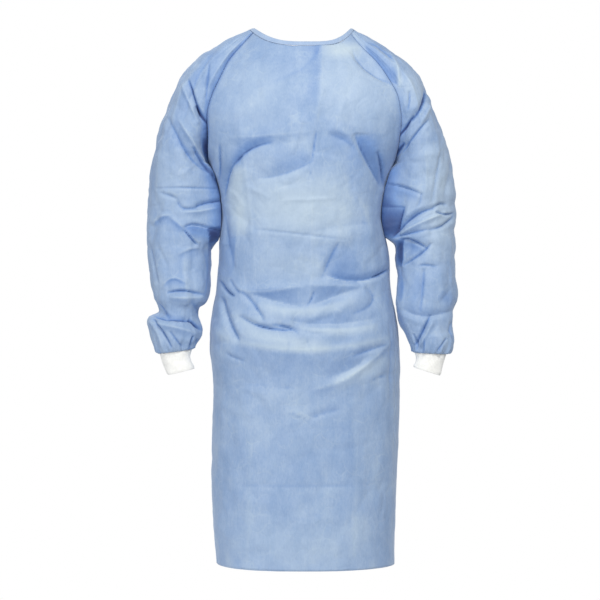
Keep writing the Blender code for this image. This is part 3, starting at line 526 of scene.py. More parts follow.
def sheet_mesh(name, points, ways, ink=None, wall=CLOTH_WALL, closed_from=None):
    """A thin shell behind a grid of points. From closed_from on, a row's two ends are one point."""
    rows, columns = points.shape[:2]
    index = np.arange(rows * columns).reshape(rows, columns)
    if closed_from is not None:
        index[closed_from:, -1] = index[closed_from:, 0]
    corners = np.stack([index[:-1, :-1], index[:-1, 1:], index[1:, 1:], index[1:, :-1]], axis=-1)
    middle = rows // 2, columns // 2
    a, b, c = (points[middle[0] + i, middle[1] + j] for i, j in ((0, 0), (0, 1), (1, 1)))
    if np.cross(b - a, c - a) @ ways[middle] < 0:
        corners = corners[..., ::-1]
    used, inverse = np.unique(corners, return_inverse=True)
    faces = inverse.reshape(-1, 4)
    mesh = bpy.data.meshes.new(name)
    mesh.from_pydata(points.reshape(-1, 3)[used].tolist(), [], faces.tolist())
    # The attribute holds the shade and light painted along the creases.
    shade = mesh.attributes.new("ink", "FLOAT", "POINT")
    values = np.zeros(rows * columns) if ink is None else ink.reshape(-1)
    shade.data.foreach_set("value", values[used].astype(np.float32))
    piece = bpy.data.objects.new(name, mesh)
    bpy.context.scene.collection.objects.link(piece)
    mesh.shade_smooth()
    finish_with(piece, "SOLIDIFY", thickness=wall, offset=-1.0)
    return piece


def finish_with(piece, kind, **settings):
    """Adds a modifier to a piece and applies it."""
    bpy.ops.object.select_all(action="DESELECT")
    bpy.context.view_layer.objects.active = piece
    piece.select_set(True)
    modifier = piece.modifiers.new(kind.lower(), kind)
    for key, value in settings.items():
        setattr(modifier, key, value)
    bpy.ops.object.modifier_apply(modifier=modifier.name)


def surface_area(piece):
    """Area of one side of a piece of cloth."""
    return sum(face.area for face in piece.data.polygons) / 2


def declare(piece, node, finish, flat, area=None):
    """Says what a sheet stands for, what it is made of and how large it was cut."""
    piece.data.materials.clear()
    piece.data.materials.append(finish)
    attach(piece, "root")
    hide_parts(node)
    cut = area or flat[0] * flat[1]
    print(node, "cloth", round(surface_area(piece), 4), "m2, cut", round(cut, 4), "m2")

# %% [markdown]
# ## The nonwoven cloth
#
# The gown is spunbond nonwoven: fine fibres laid mostly along the roll and welded together. It is
# matt, with a slight cool sheen where it turns away. Its colour is cloudy where the fibres lie
# thicker, and a little streaked down the panels, which is noise stretched along Z. Fibres and weld
# points are bump, because they are far smaller than a step away can show. The attribute of painted
# shade and light takes the troughs to navy as painted shade, and below zero it mixes in a pale
# colour as painted light.

# %% Material helpers
def new_material(name, roughness, sheen, sheen_tint, specular):
    made = bpy.data.materials.new(name)
    made.use_nodes = True
    shader = made.node_tree.nodes["Principled BSDF"]
    shader.inputs["Roughness"].default_value = roughness
    shader.inputs["Sheen Weight"].default_value = sheen
    shader.inputs["Sheen Roughness"].default_value = 0.45
    shader.inputs["Sheen Tint"].default_value = (*sheen_tint, 1.0)
    shader.inputs["Specular IOR Level"].default_value = specular
    return made, made.node_tree.nodes, made.node_tree.links, shader


def add_node(nodes, kind, **settings):
    node = nodes.new(kind)
    for key, value in settings.items():
        if key in node.inputs:
            node.inputs[key].default_value = value
        else:
            setattr(node, key, value)
    return node


def object_noise(nodes, links, scale, stretch, detail, roughness):
    """Noise in the gown's own coordinates, stretched along the panels."""
    place = add_node(nodes, "ShaderNodeTexCoord")
    mapping = add_node(nodes, "ShaderNodeMapping")
    mapping.inputs["Scale"].default_value = stretch
    noise = add_node(nodes, "ShaderNodeTexNoise", Scale=scale, Detail=detail, Roughness=roughness)
    links.new(place.outputs["Object"], mapping.inputs["Vector"])
    links.new(mapping.outputs["Vector"], noise.inputs["Vector"])
    return noise.outputs["Fac"]


def ramp(nodes, links, source, stops):
    """A colour ramp from a list of (place, colour)."""
    node = add_node(nodes, "ShaderNodeValToRGB")
    while len(node.color_ramp.elements) < len(stops):
        node.color_ramp.elements.new(0.5)
    for element, (place, colour) in zip(node.color_ramp.elements, stops):
        element.position = place
        element.color = (*colour, 1.0)
    links.new(source, node.inputs["Fac"])
    return node.outputs["Color"]


def mixed(nodes, links, kind, share, first, second):
    """Two colours through a Mix node. share is a number or a socket."""
    node = add_node(nodes, "ShaderNodeMix", data_type="RGBA", blend_type=kind)
    fac, a, b = node.inputs[0], node.inputs[6], node.inputs[7]
    for socket, value in ((fac, share), (a, first), (b, second)):
        if isinstance(value, (int, float)):
            socket.default_value = value
        elif isinstance(value, tuple):
            socket.default_value = (*value, 1.0)
        else:
            links.new(value, socket)
    return node.outputs[2]


def bumped(nodes, links, shader, layers):
    """A chain of bumps on a shader, from (height socket, strength, distance) rows."""
    last = None
    for height, strength, distance in layers:
        node = add_node(nodes, "ShaderNodeBump", Strength=strength, Distance=distance)
        links.new(height, node.inputs["Height"])
        if last is not None:
            links.new(last, node.inputs["Normal"])
        last = node.outputs["Normal"]
    links.new(last, shader.inputs["Normal"])


# %% Nonwoven cloth
CRINKLES = (34.0, 80.0)
CLOTH_DEEP = (0.262, 0.382, 0.592)
CLOTH_MID = (0.304, 0.424, 0.626)
CLOTH_PALE = (0.360, 0.478, 0.655)
# The pale colour of whitened, crushed fibres, also used for painted light.
CLOTH_WHITENED_AND_LIT = (0.62, 0.72, 0.75)
# Colours of painted shade, from none to the navy of a deep trough.
PAINTED_SHADE_TINTS = ((0.0, (1.0, 1.0, 1.0)), (0.30, (0.54, 0.68, 0.90)), (0.62, (0.20, 0.30, 0.52)),
             (1.0, (0.08, 0.10, 0.23)))


def nonwoven(name, pale=0.0):
    made, nodes, links, shader = new_material(name, 0.54, 0.25, (0.85, 0.92, 1.0), 0.36)
    clouds = object_noise(nodes, links, 17.0, (1.0, 1.0, 0.8), 5.0, 0.62)
    streaks = object_noise(nodes, links, 70.0, (1.0, 1.0, 0.16), 4.0, 0.6)
    fibres = object_noise(nodes, links, 330.0, (1.0, 1.0, 0.35), 4.0, 0.7)
    colour = ramp(nodes, links, clouds, ((0.32, CLOTH_DEEP), (0.50, CLOTH_MID), (0.68, CLOTH_PALE)))
    tint = ramp(nodes, links, streaks, ((0.30, (0.91, 0.94, 0.97)), (0.70, (1.08, 1.05, 1.02))))
    colour = mixed(nodes, links, "MULTIPLY", 0.7, colour, tint)
    grain = ramp(nodes, links, fibres, ((0.34, (0.84, 0.88, 0.94)), (0.66, (1.14, 1.10, 1.05))))
    colour = mixed(nodes, links, "MULTIPLY", 0.55, colour, grain)
    # The binding's paler colour: partly its extra layers, partly painted light where it lies flat to the
    # light.
    if pale:
        colour = mixed(nodes, links, "MIX", pale, colour, (0.66, 0.75, 0.87))
    ink = add_node(nodes, "ShaderNodeAttribute", attribute_name="ink")
    place = add_node(nodes, "ShaderNodeTexCoord")
    drift = add_node(nodes, "ShaderNodeTexNoise", Scale=24.0, Detail=2.0)
    links.new(place.outputs["Object"], drift.inputs["Vector"])
    warp = add_node(nodes, "ShaderNodeVectorMath", operation="MULTIPLY_ADD")
    warp.inputs[1].default_value = (0.03, 0.03, 0.03)
    links.new(drift.outputs["Color"], warp.inputs[0])
    links.new(place.outputs["Object"], warp.inputs[2])
    crinkles = []
    for scale in CRINKLES:
        cells = add_node(nodes, "ShaderNodeTexVoronoi", Scale=scale, feature="DISTANCE_TO_EDGE")
        links.new(warp.outputs[0], cells.inputs["Vector"])
        crinkles.append(cells.outputs["Distance"])
    line = ramp(nodes, links, crinkles[0], ((0.0, (1.0, 1.0, 1.0)), (0.08, (0.0, 0.0, 0.0))))
    patchy = ramp(nodes, links, drift.outputs["Fac"], ((0.48, (0.0, 0.0, 0.0)), (0.70, (0.16, 0.16, 0.16))))
    whitened = mixed(nodes, links, "MULTIPLY", 1.0, line, patchy)
    colour = mixed(nodes, links, "MIX", whitened, colour, CLOTH_WHITENED_AND_LIT)
    # Painted light, with a ridge's whitening: below zero the attribute mixes in the pale colour.
    whitening_and_painted_light = add_node(nodes, "ShaderNodeMath", operation="MULTIPLY", use_clamp=True)
    whitening_and_painted_light.inputs[1].default_value = -1.0
    links.new(ink.outputs["Fac"], whitening_and_painted_light.inputs[0])
    colour = mixed(nodes, links, "MIX", whitening_and_painted_light.outputs[0], colour, CLOTH_WHITENED_AND_LIT)
    # Painted shade: above zero the attribute darkens the colour towards navy.
    painted_shade_colour = ramp(nodes, links, ink.outputs["Fac"], PAINTED_SHADE_TINTS)
    colour = mixed(nodes, links, "MULTIPLY", 1.0, colour, painted_shade_colour)
    links.new(colour, shader.inputs["Base Color"])
    weld = add_node(nodes, "ShaderNodeTexVoronoi", Scale=700.0, feature="F1")
    links.new(place.outputs["Object"], weld.inputs["Vector"])
    bumped(nodes, links, shader, (
        (crinkles[0], 0.5, 0.0026),
        (crinkles[1], 0.5, 0.0008),
        (streaks, 0.15, 0.0008),
        (fibres, 0.25, 0.0004),
        (weld.outputs["Distance"], 0.18, 0.0002),
    ))
    return made


gown_cloth = nonwoven("gown_cloth")
binding_cloth = nonwoven("binding_cloth", 0.16)
print("made", gown_cloth.name, "and", binding_cloth.name)

# %% [markdown]
# ## Knit and tape
#
# The cuffs are a white rib knit. The ribs are real geometry, and only the loops inside a rib are
# bump. The neck tab is hook-and-loop tape, with a short dense pile.

# %% Knit and tape
def knit(name):
    made, nodes, links, shader = new_material(name, 0.88, 0.35, (1.0, 1.0, 1.0), 0.2)
    soft = object_noise(nodes, links, 90.0, (1.0, 1.0, 1.0), 3.0, 0.6)
    colour = ramp(nodes, links, soft, ((0.30, (0.89, 0.885, 0.85)), (0.70, (0.985, 0.98, 0.945))))
    links.new(colour, shader.inputs["Base Color"])
    place = add_node(nodes, "ShaderNodeTexCoord")
    rows = add_node(nodes, "ShaderNodeTexWave", Scale=330.0, Distortion=1.2, Detail=1.0,
                    bands_direction="Z")
    links.new(place.outputs["Object"], rows.inputs["Vector"])
    fuzz = object_noise(nodes, links, 900.0, (1.0, 1.0, 1.0), 3.0, 0.7)
    bumped(nodes, links, shader, ((rows.outputs["Fac"], 0.35, 0.0004), (fuzz, 0.5, 0.0004)))
    return made


def tape(name):
    made, nodes, links, shader = new_material(name, 0.85, 0.5, (0.9, 0.95, 1.0), 0.25)
    pile = object_noise(nodes, links, 1400.0, (1.0, 1.0, 1.0), 4.0, 0.8)
    colour = ramp(nodes, links, pile, ((0.30, (0.60, 0.68, 0.76)), (0.70, (0.86, 0.90, 0.94))))
    links.new(colour, shader.inputs["Base Color"])
    bumped(nodes, links, shader, ((pile, 0.9, 0.0012),))
    return made


cuff_knit = knit("cuff_knit")
tab_tape = tape("tab_tape")
print("made", cuff_knit.name, "and", tab_tape.name)

# %% [markdown]
# ## Front and back panels
#
# The front is one panel from side seam to side seam, cut along the raglan seams at the top. The
# back is two panels that cross at the centre, the left one outside. At each seam the cloth dips a
# little, as sewn edges do, and at the front and back of the armpit it sinks in a deep fold, because
# the sleeve hangs down there and pulls the seam in. Painted shade darkens the seams and these folds.
# The side of the body and the sleeve lie against each other below the armpit, and hardly any light
# comes in between them, so painted shade darkens both there. The hem is a plain cut edge.

# %% Cloth of the body
SEAM_CALM = 9.0
Fold = namedtuple("Fold", "level depth reach ink")
# The last column is painted shade in the seam's fold, deepest at the armpit.
SEAM_FOLD = (
    Fold(-1.172, 0.0004, 0.0035, 0.0),
    Fold(-0.500, 0.0004, 0.0035, 0.0),
    Fold(-0.400, 0.0004, 0.0035, 0.0),
    Fold(-0.360, 0.0004, 0.0035, 0.0),
    Fold(-0.330, 0.0005, 0.0040, 0.0),
    Fold(-0.300, 0.0015, 0.0060, 0.35),
    Fold(-0.282, 0.0055, 0.0130, 0.85),
    Fold(-0.255, 0.0085, 0.0190, 0.90),
    Fold(-0.225, 0.0065, 0.0170, 0.60),
    Fold(-0.190, 0.0030, 0.0110, 0.34),
    Fold(-0.150, 0.0012, 0.0085, 0.30),
    Fold(-0.090, 0.0011, 0.0080, 0.34),
    Fold(0.0, 0.0009, 0.0060, 0.42),
)
# Painted shade where the sleeve lies against the body.
CREVICE_TURNS, CREVICE_PAINTED_SHADE = 13.0, 0.50
SEAM_SHOWS = {"right": 1.0, "left": 0.25}
CREVICE_LEVELS = (-0.478, -0.440, -0.330, -0.290)


def off_seam(turn, level):
    """0 on the raglan seams and 1 away from them: creases die out before they reach a seam."""
    turn = np.abs((turn + 180.0) % 360.0 - 180.0)
    to_front = np.abs(turn - smooth(RAGLAN, "front", level))
    to_back = np.abs(turn - 180.0 + smooth(RAGLAN, "back", level))
    clear = ease(0.0, SEAM_CALM, np.minimum(to_front, to_back))
    return 1 - (1 - clear) * ease(UNDERARM - 0.04, UNDERARM - 0.01, level)


def crevice(level):
    """1 at the levels where the sleeve lies against the body."""
    low, low_full, high_full, high = CREVICE_LEVELS
    return ease(low, low_full, level) * (1 - ease(high_full, high, level))


def cloth(turns, levels, small=True):
    """Points of the body's cloth, the ways out of it and the shade and light painted on it."""
    turns, levels = np.broadcast_arrays(np.asarray(turns, float), np.asarray(levels, float))
    points, normals = body(turns, levels), body_normal(turns, levels)
    lift, ink = crease_lift(BODY_CREASES, points, normals)
    if small:
        lift = lift + crease_lift(BODY_SMALL, points, normals)[0] + crumple(BODY_CRUMPLE, points)
    # Painted shade where the body's side lies against the sleeve.
    side = np.abs(np.abs((turns + 180.0) % 360.0 - 180.0) - 90.0)
    beside = (1 - ease(CREVICE_TURNS * 0.35, CREVICE_TURNS, side)) * crevice(levels)
    lift = lift * off_seam(turns, levels) * (1 - 0.8 * beside)
    return points + normals * lift[..., None], normals, np.clip(ink + CREVICE_PAINTED_SHADE * beside, -1, 1)


def fold_at_edge(points, ink, edge, side, panel, levels):
    """Sinks the first or last column into the seam that it is sewn in, and paints shade on it there."""
    seam = SIGNS[side] * seam_turn(side, panel, levels)
    depth = SEAM_SHOWS[side] * smooth(SEAM_FOLD, "depth", levels)
    inward = body_normal(seam, levels) * -depth[:, None]
    run = np.linalg.norm(points - points[:, edge][:, None], axis=-1)
    near = np.clip(1 - run / smooth(SEAM_FOLD, "reach", levels)[:, None], 0, 1)
    points = points + inward[:, None] * (near**1.5)[..., None]
    dark = SEAM_SHOWS[side] * smooth(SEAM_FOLD, "ink", levels)[:, None]
    return points, ink * (1 - near) + np.maximum(ink, dark) * near


# %% Front panel
SKIRT_TOP = -0.755
FRONT_SKIRT_ROWS, FRONT_TOP_ROWS, FRONT_COLUMNS = 76, 244, 138
front_levels = np.concatenate([np.linspace(HEM, SKIRT_TOP, FRONT_SKIRT_ROWS, endpoint=False),
                               np.linspace(SKIRT_TOP, TUBE_TOP, FRONT_TOP_ROWS)])
gap = gap_in_degrees(front_levels)
right_edge = -seam_turn("right", "front", front_levels) + gap
left_edge = seam_turn("left", "front", front_levels) - gap
turns = np.array([even_turns(z, a, b, FRONT_COLUMNS)
                  for z, a, b in zip(front_levels, right_edge, left_edge)])
points, ways, ink = cloth(turns, front_levels[:, None])
points, ink = fold_at_edge(points, ink, 0, "right", "front", front_levels)
points, ink = fold_at_edge(points, ink, -1, "left", "front", front_levels)
gown_front = sheet_mesh("gown_front", points, ways, ink)
declare(gown_front, "front", gown_cloth, (0.66, 1.16), area=0.55)

# %% Back panels
UNDER_SINK, UNDER_RAMP = 0.0030, 18.0
HEM_FLARE, FLARE_TURNS = 0.009, 22.0
BACK_ROWS = 234
OUTER_COLUMNS, LAP_COLUMNS, UNDER_COLUMNS = 52, 44, 50
back_levels = np.linspace(HEM, TUBE_TOP, BACK_ROWS)
gap = gap_in_degrees(back_levels)
stops = (
    seam_turn("left", "back", back_levels) + gap,
    180.0 - smooth(OVERLAPS, "under", back_levels),
    180.0 + smooth(OVERLAPS, "outer", back_levels),
    360.0 - seam_turn("right", "back", back_levels) - gap,
)
turns = np.array([
    np.concatenate([even_turns(z, a, b, OUTER_COLUMNS), even_turns(z, b, c, LAP_COLUMNS)[1:],
                    even_turns(z, c, d, UNDER_COLUMNS)[1:]])
    for z, a, b, c, d in zip(back_levels, *stops)])
points, ways, ink = cloth(turns, back_levels[:, None])
levels = np.broadcast_to(back_levels[:, None], turns.shape)
lap_edge = 180.0 + smooth(OVERLAPS, "outer", levels)
flare = HEM_FLARE * ease(lap_edge - FLARE_TURNS, lap_edge, turns) ** 2 * ease(-WAIST, -HEM, -levels)
sink = UNDER_SINK * (1 - ease(lap_edge, lap_edge + UNDER_RAMP, turns))
over = slice(None, OUTER_COLUMNS + LAP_COLUMNS + 1)
under = slice(OUTER_COLUMNS, None)
outer_points, outer_painted_shading = fold_at_edge((points + ways * flare[..., None])[:, over], ink[:, over],
                                       0, "left", "back", back_levels)
under_points, under_painted_shading = fold_at_edge((points - ways * sink[..., None])[:, under],
                                       ink[:, under], -1, "right", "back", back_levels)
back_left = sheet_mesh("gown_back_left", outer_points, ways[:, over], outer_painted_shading)
back_right = sheet_mesh("gown_back_right", under_points, ways[:, under], under_painted_shading)
declare(back_left, "back_left", gown_cloth, (0.52, 1.16), area=0.46)
declare(back_right, "back_right", gown_cloth, (0.50, 1.16), area=0.43)

# %% [markdown]
# ## Sleeves
#
# A raglan sleeve runs up to the neck. Above the underarm each row of points is an arc from the
# front seam over the shoulder to the back seam, and below it the rows are rings. The tables hold
# the outermost and innermost points that the photograph shows and the sleeve's depth.

# %% Sleeve tables
Cap = namedtuple("Cap", "level out_x out_y out_z depth")
CAP_RIGHT = (
    Cap(-0.040, -0.1430, 0.001, -0.013, 0.050),
    Cap(-0.069, -0.1840, 0.001, -0.036, 0.064),
    Cap(-0.096, -0.2215, 0.001, -0.059, 0.073),
    Cap(-0.120, -0.2470, 0.001, -0.081, 0.079),
    Cap(-0.145, -0.2665, 0.001, -0.106, 0.083),
    Cap(-0.180, -0.2855, 0.001, -0.145, 0.086),
    Cap(-0.216, -0.3020, 0.001, -0.188, 0.087),
    Cap(-0.250, -0.3150, 0.001, -0.227, 0.086),
    Cap(-0.280, -0.324, 0.001, -0.268, 0.085),
    Cap(-0.300, -0.331, 0.001, -0.300, 0.084),
)
CAP_LEFT = (
    Cap(-0.040, 0.1300, 0.001, -0.014, 0.050),
    Cap(-0.069, 0.1690, 0.001, -0.035, 0.064),
    Cap(-0.096, 0.2045, 0.001, -0.058, 0.073),
    Cap(-0.120, 0.2330, 0.001, -0.080, 0.079),
    Cap(-0.145, 0.2560, 0.001, -0.106, 0.083),
    Cap(-0.180, 0.2740, 0.001, -0.146, 0.086),
    Cap(-0.216, 0.2900, 0.001, -0.188, 0.087),
    Cap(-0.250, 0.3060, 0.001, -0.228, 0.086),
    Cap(-0.280, 0.320, 0.001, -0.268, 0.085),
    Cap(-0.300, 0.327, 0.001, -0.300, 0.084),
)
Arm = namedtuple("Arm", "out_x out_z in_x in_z mid_y depth")
ARM_RIGHT = (
    Arm(-0.3360, -0.330, -0.1990, -0.328, 0.001, 0.082),
    Arm(-0.3400, -0.365, -0.1895, -0.362, 0.001, 0.080),
    Arm(-0.3420, -0.402, -0.1845, -0.398, 0.000, 0.078),
    Arm(-0.3430, -0.438, -0.1855, -0.434, -0.003, 0.077),
    Arm(-0.3425, -0.466, -0.1875, -0.462, -0.007, 0.076),
    Arm(-0.3415, -0.488, -0.2015, -0.486, -0.011, 0.072),
    Arm(-0.3385, -0.516, -0.2016, -0.512, -0.016, 0.068),
    Arm(-0.3350, -0.546, -0.2020, -0.542, -0.023, 0.066),
    Arm(-0.3290, -0.574, -0.2050, -0.574, -0.030, 0.063),
    Arm(-0.3225, -0.596, -0.2110, -0.600, -0.036, 0.060),
    Arm(-0.3150, -0.612, -0.2285, -0.617, -0.041, 0.050),
    Arm(-0.3125, -0.623, -0.2285, -0.635, -0.045, 0.046),
    Arm(-0.3340, -0.630, -0.2235, -0.648, -0.049, 0.053),
    Arm(-0.3385, -0.642, -0.2175, -0.662, -0.052, 0.055),
    Arm(-0.3335, -0.662, -0.2230, -0.678, -0.057, 0.050),
    Arm(-0.3260, -0.686, -0.2335, -0.689, -0.061, 0.043),
    Arm(-0.3190, -0.702, -0.2390, -0.695, -0.065, 0.034),
)
ARM_LEFT = (
    Arm(0.3310, -0.330, 0.1950, -0.328, 0.001, 0.082),
    Arm(0.3340, -0.362, 0.1835, -0.360, 0.001, 0.080),
    Arm(0.3350, -0.396, 0.1785, -0.392, 0.000, 0.078),
    Arm(0.3345, -0.428, 0.1790, -0.424, -0.003, 0.078),
    Arm(0.3315, -0.446, 0.1830, -0.446, -0.006, 0.077),
    Arm(0.3335, -0.462, 0.1875, -0.460, -0.009, 0.075),
    Arm(0.3335, -0.480, 0.2005, -0.474, -0.013, 0.069),
    Arm(0.3320, -0.512, 0.2015, -0.508, -0.018, 0.067),
    Arm(0.3335, -0.542, 0.2070, -0.540, -0.025, 0.065),
    Arm(0.3360, -0.572, 0.2055, -0.570, -0.032, 0.064),
    Arm(0.3350, -0.594, 0.2030, -0.592, -0.038, 0.062),
    Arm(0.3290, -0.612, 0.2020, -0.608, -0.042, 0.059),
    Arm(0.3250, -0.628, 0.2050, -0.624, -0.046, 0.055),
    Arm(0.3240, -0.648, 0.2105, -0.646, -0.050, 0.052),
    Arm(0.3270, -0.668, 0.2210, -0.668, -0.055, 0.048),
    Arm(0.3260, -0.688, 0.2310, -0.688, -0.060, 0.042),
    Arm(0.3205, -0.702, 0.2380, -0.699, -0.064, 0.034),
)
CUFF_RIGHT = (
    Arm(-0.3125, -0.7060, -0.2415, -0.6965, -0.066, 0.0260),
    Arm(-0.3105, -0.7120, -0.2415, -0.7030, -0.067, 0.0262),
    Arm(-0.3045, -0.7300, -0.2440, -0.7180, -0.071, 0.0240),
    Arm(-0.2975, -0.7460, -0.2395, -0.7320, -0.075, 0.0245),
    Arm(-0.2930, -0.7584, -0.2335, -0.7432, -0.078, 0.0258),
)
CUFF_LEFT = (
    Arm(0.3110, -0.7070, 0.2430, -0.7040, -0.065, 0.0260),
    Arm(0.3100, -0.7130, 0.2425, -0.7100, -0.066, 0.0262),
    Arm(0.3040, -0.7300, 0.2445, -0.7220, -0.070, 0.0240),
    Arm(0.2995, -0.7460, 0.2415, -0.7320, -0.074, 0.0245),
    Arm(0.2975, -0.7593, 0.2377, -0.7402, -0.077, 0.0258),
)
print("sleeve rings:", len(ARM_RIGHT), len(ARM_LEFT))

# %% Creases of the sleeves
# As on the body, the last column paints shade into troughs and onto the sleeve's inner side, and light onto
# ridges; rows without height paint patches of shade above zero and of light below.
RIGHT_SLEEVE_CREASES = (
    Crease("front", -248, -119, -235, -160, -216, -203, 4, 6, -6, 0.6),
    Crease("front", -259, -125, -244, -173, -225, -216, 5, 6, 3.6, 0),
    Crease("front", -231, -177, -218, -201, -207, -229, 5, 7, -7, 0.9),
    Crease("front", -203, -78, -207, -134, -212, -190, 4, 5, -2.6, 0.2),
    Crease("front", -216, -246, -214, -272, -205, -298, 6, 7, -6.5, 0.9),
    Crease("front", -207, -290, -194, -324, -181, -376, 3, 4, -5, 0.8),
    Crease("front", -292, -199, -257, -270, -209, -320, 10, 12, -5, 0.1),
    Crease("front", -285, -212, -274, -251, -240, -272, 3, 16, 0, 0.14),
    Crease("front", -270, -205, -229, -274, -192, -350, 9, 9, 5, 0),
    Crease("front", -240, -264, -218, -302, -192, -350, 5, 7, -4.6, 0.28),
    Crease("front", -322, -354, -257, -354, -194, -354, 3, 4, -2, 0.14),
    Crease("front", -309, -363, -287, -372, -270, -378, 6, 7, -3.4, 0.08),
    Crease("front", -274, -378, -257, -400, -222, -393, 7, 5, -4.4, 0.12),
    Crease("front", -231, -395, -209, -387, -186, -380, 8, 5, -5, 0.25),
    Crease("front", -257, -404, -227, -404, -194, -395, 4, 9, 3, -0.1),
    Crease("front", -326, -432, -305, -415, -285, -415, 6, 8, 3.2, 0),
    Crease("front", -324, -434, -302, -419, -285, -417, 2, 16, 0, 0.18),
    Crease("front", -287, -415, -270, -430, -253, -445, 6, 9, 3.4, 0),
    Crease("front", -285, -417, -270, -432, -255, -447, 2, 18, 0, 0.2),
    Crease("front", -257, -445, -244, -460, -229, -477, 3, 5, -5.6, 0.4),
    Crease("front", -253, -445, -240, -462, -222, -473, 5, 9, 3, 0),
    Crease("front", -259, -443, -229, -434, -179, -452, 5, 8, -5, 0.1),
    Crease("front", -257, -445, -229, -439, -181, -454, 2, 26, 0, 0.4),
    Crease("front", -207, -439, -203, -467, -207, -502, 28, 2, 0, 0.6),
    Crease("front", -216, -488, -207, -536, -217, -592, 22, 3, 0, 0.25),
    Crease("front", -335, -467, -325, -514, -312, -562, 4, 9, -2.4, 0.05),
    Crease("front", -270, -499, -246, -486, -225, -484, 6, 6, 2.4, 0),
    Crease("front", -267, -502, -244, -490, -225, -486, 2, 20, 0, 0.12),
    Crease("front", -301, -566, -280, -549, -250, -562, 6, 6, 3, 0),
    Crease("front", -299, -568, -280, -551, -252, -564, 2, 14, 0, 0.22),
    Crease("front", -293, -581, -258, -577, -215, -585, 4, 6, -5.2, 0.35),
    Crease("front", -288, -590, -256, -592, -217, -590, 4, 9, 2.6, -0.1),
    Crease("front", -243, -601, -235, -609, -226, -635, 10, 3, 0, 0.25),
    Crease("front", -314, -601, -303, -618, -286, -631, 4, 7, -3.6, 0.25),
    Crease("front", -329, -626, -282, -637, -239, -639, 8, 5, -7, 0.4),
    Crease("front", -245, -637, -228, -650, -213, -667, 4, 6, -7, 0.7),
    Crease("front", -334, -644, -278, -654, -226, -669, 6, 12, 3.6, 0),
    Crease("front", -325, -635, -303, -663, -282, -697, 3, 5, -5, 0.42),
    Crease("front", -331, -641, -312, -669, -299, -700, 4, 9, 2.6, 0),
    Crease("front", -286, -663, -273, -680, -260, -697, 3, 3, -3, 0.22),
    Crease("front", -237, -672, -243, -684, -250, -704, 3, 4, -4, 0.4),
    Crease("front", -228, -678, -235, -691, -237, -708, 3, 4, -3, 0.25),
    Crease("front", -300, -240, -315, -315, -317, -391, 20, 22, 2.4, 0),
    Crease("front", -253, -488, -256, -532, -247, -607, 13, 18, 2.2, 0),
    Crease("front", -136, -35, -175, -82, -212, -156, 10, 12, 2.2, 0),
    Crease("front", -190, -56, -231, -121, -253, -203, 12, 14, -2.6, 0),
    Crease("front", -222, -82, -261, -147, -283, -225, 14, 14, 2.2, 0),
    Crease("front", -194, -52, -197, -99, -205, -143, 30, 30, 0, 0.14),
    Crease("front", -298, -272, -292, -359, -309, -413, 40, 30, 0, -0.1),
    Crease("back", -322, -410, -270, -440, -212, -432, 12, 14, -6.0, 0.15),
    Crease("back", -318, -452, -268, -466, -214, -452, 8, 12, 4.6, 0),
    Crease("back", -312, -498, -268, -512, -212, -496, 10, 12, -5.6, 0.15),
    Crease("back", -300, -560, -262, -590, -224, -640, 12, 12, -4.0, 0.1),
    Crease("back", -276, -150, -252, -240, -236, -340, 14, 18, 3.6, 0),
    Crease("back", -300, -240, -296, -330, -300, -420, 16, 18, -2.8, 0),
)
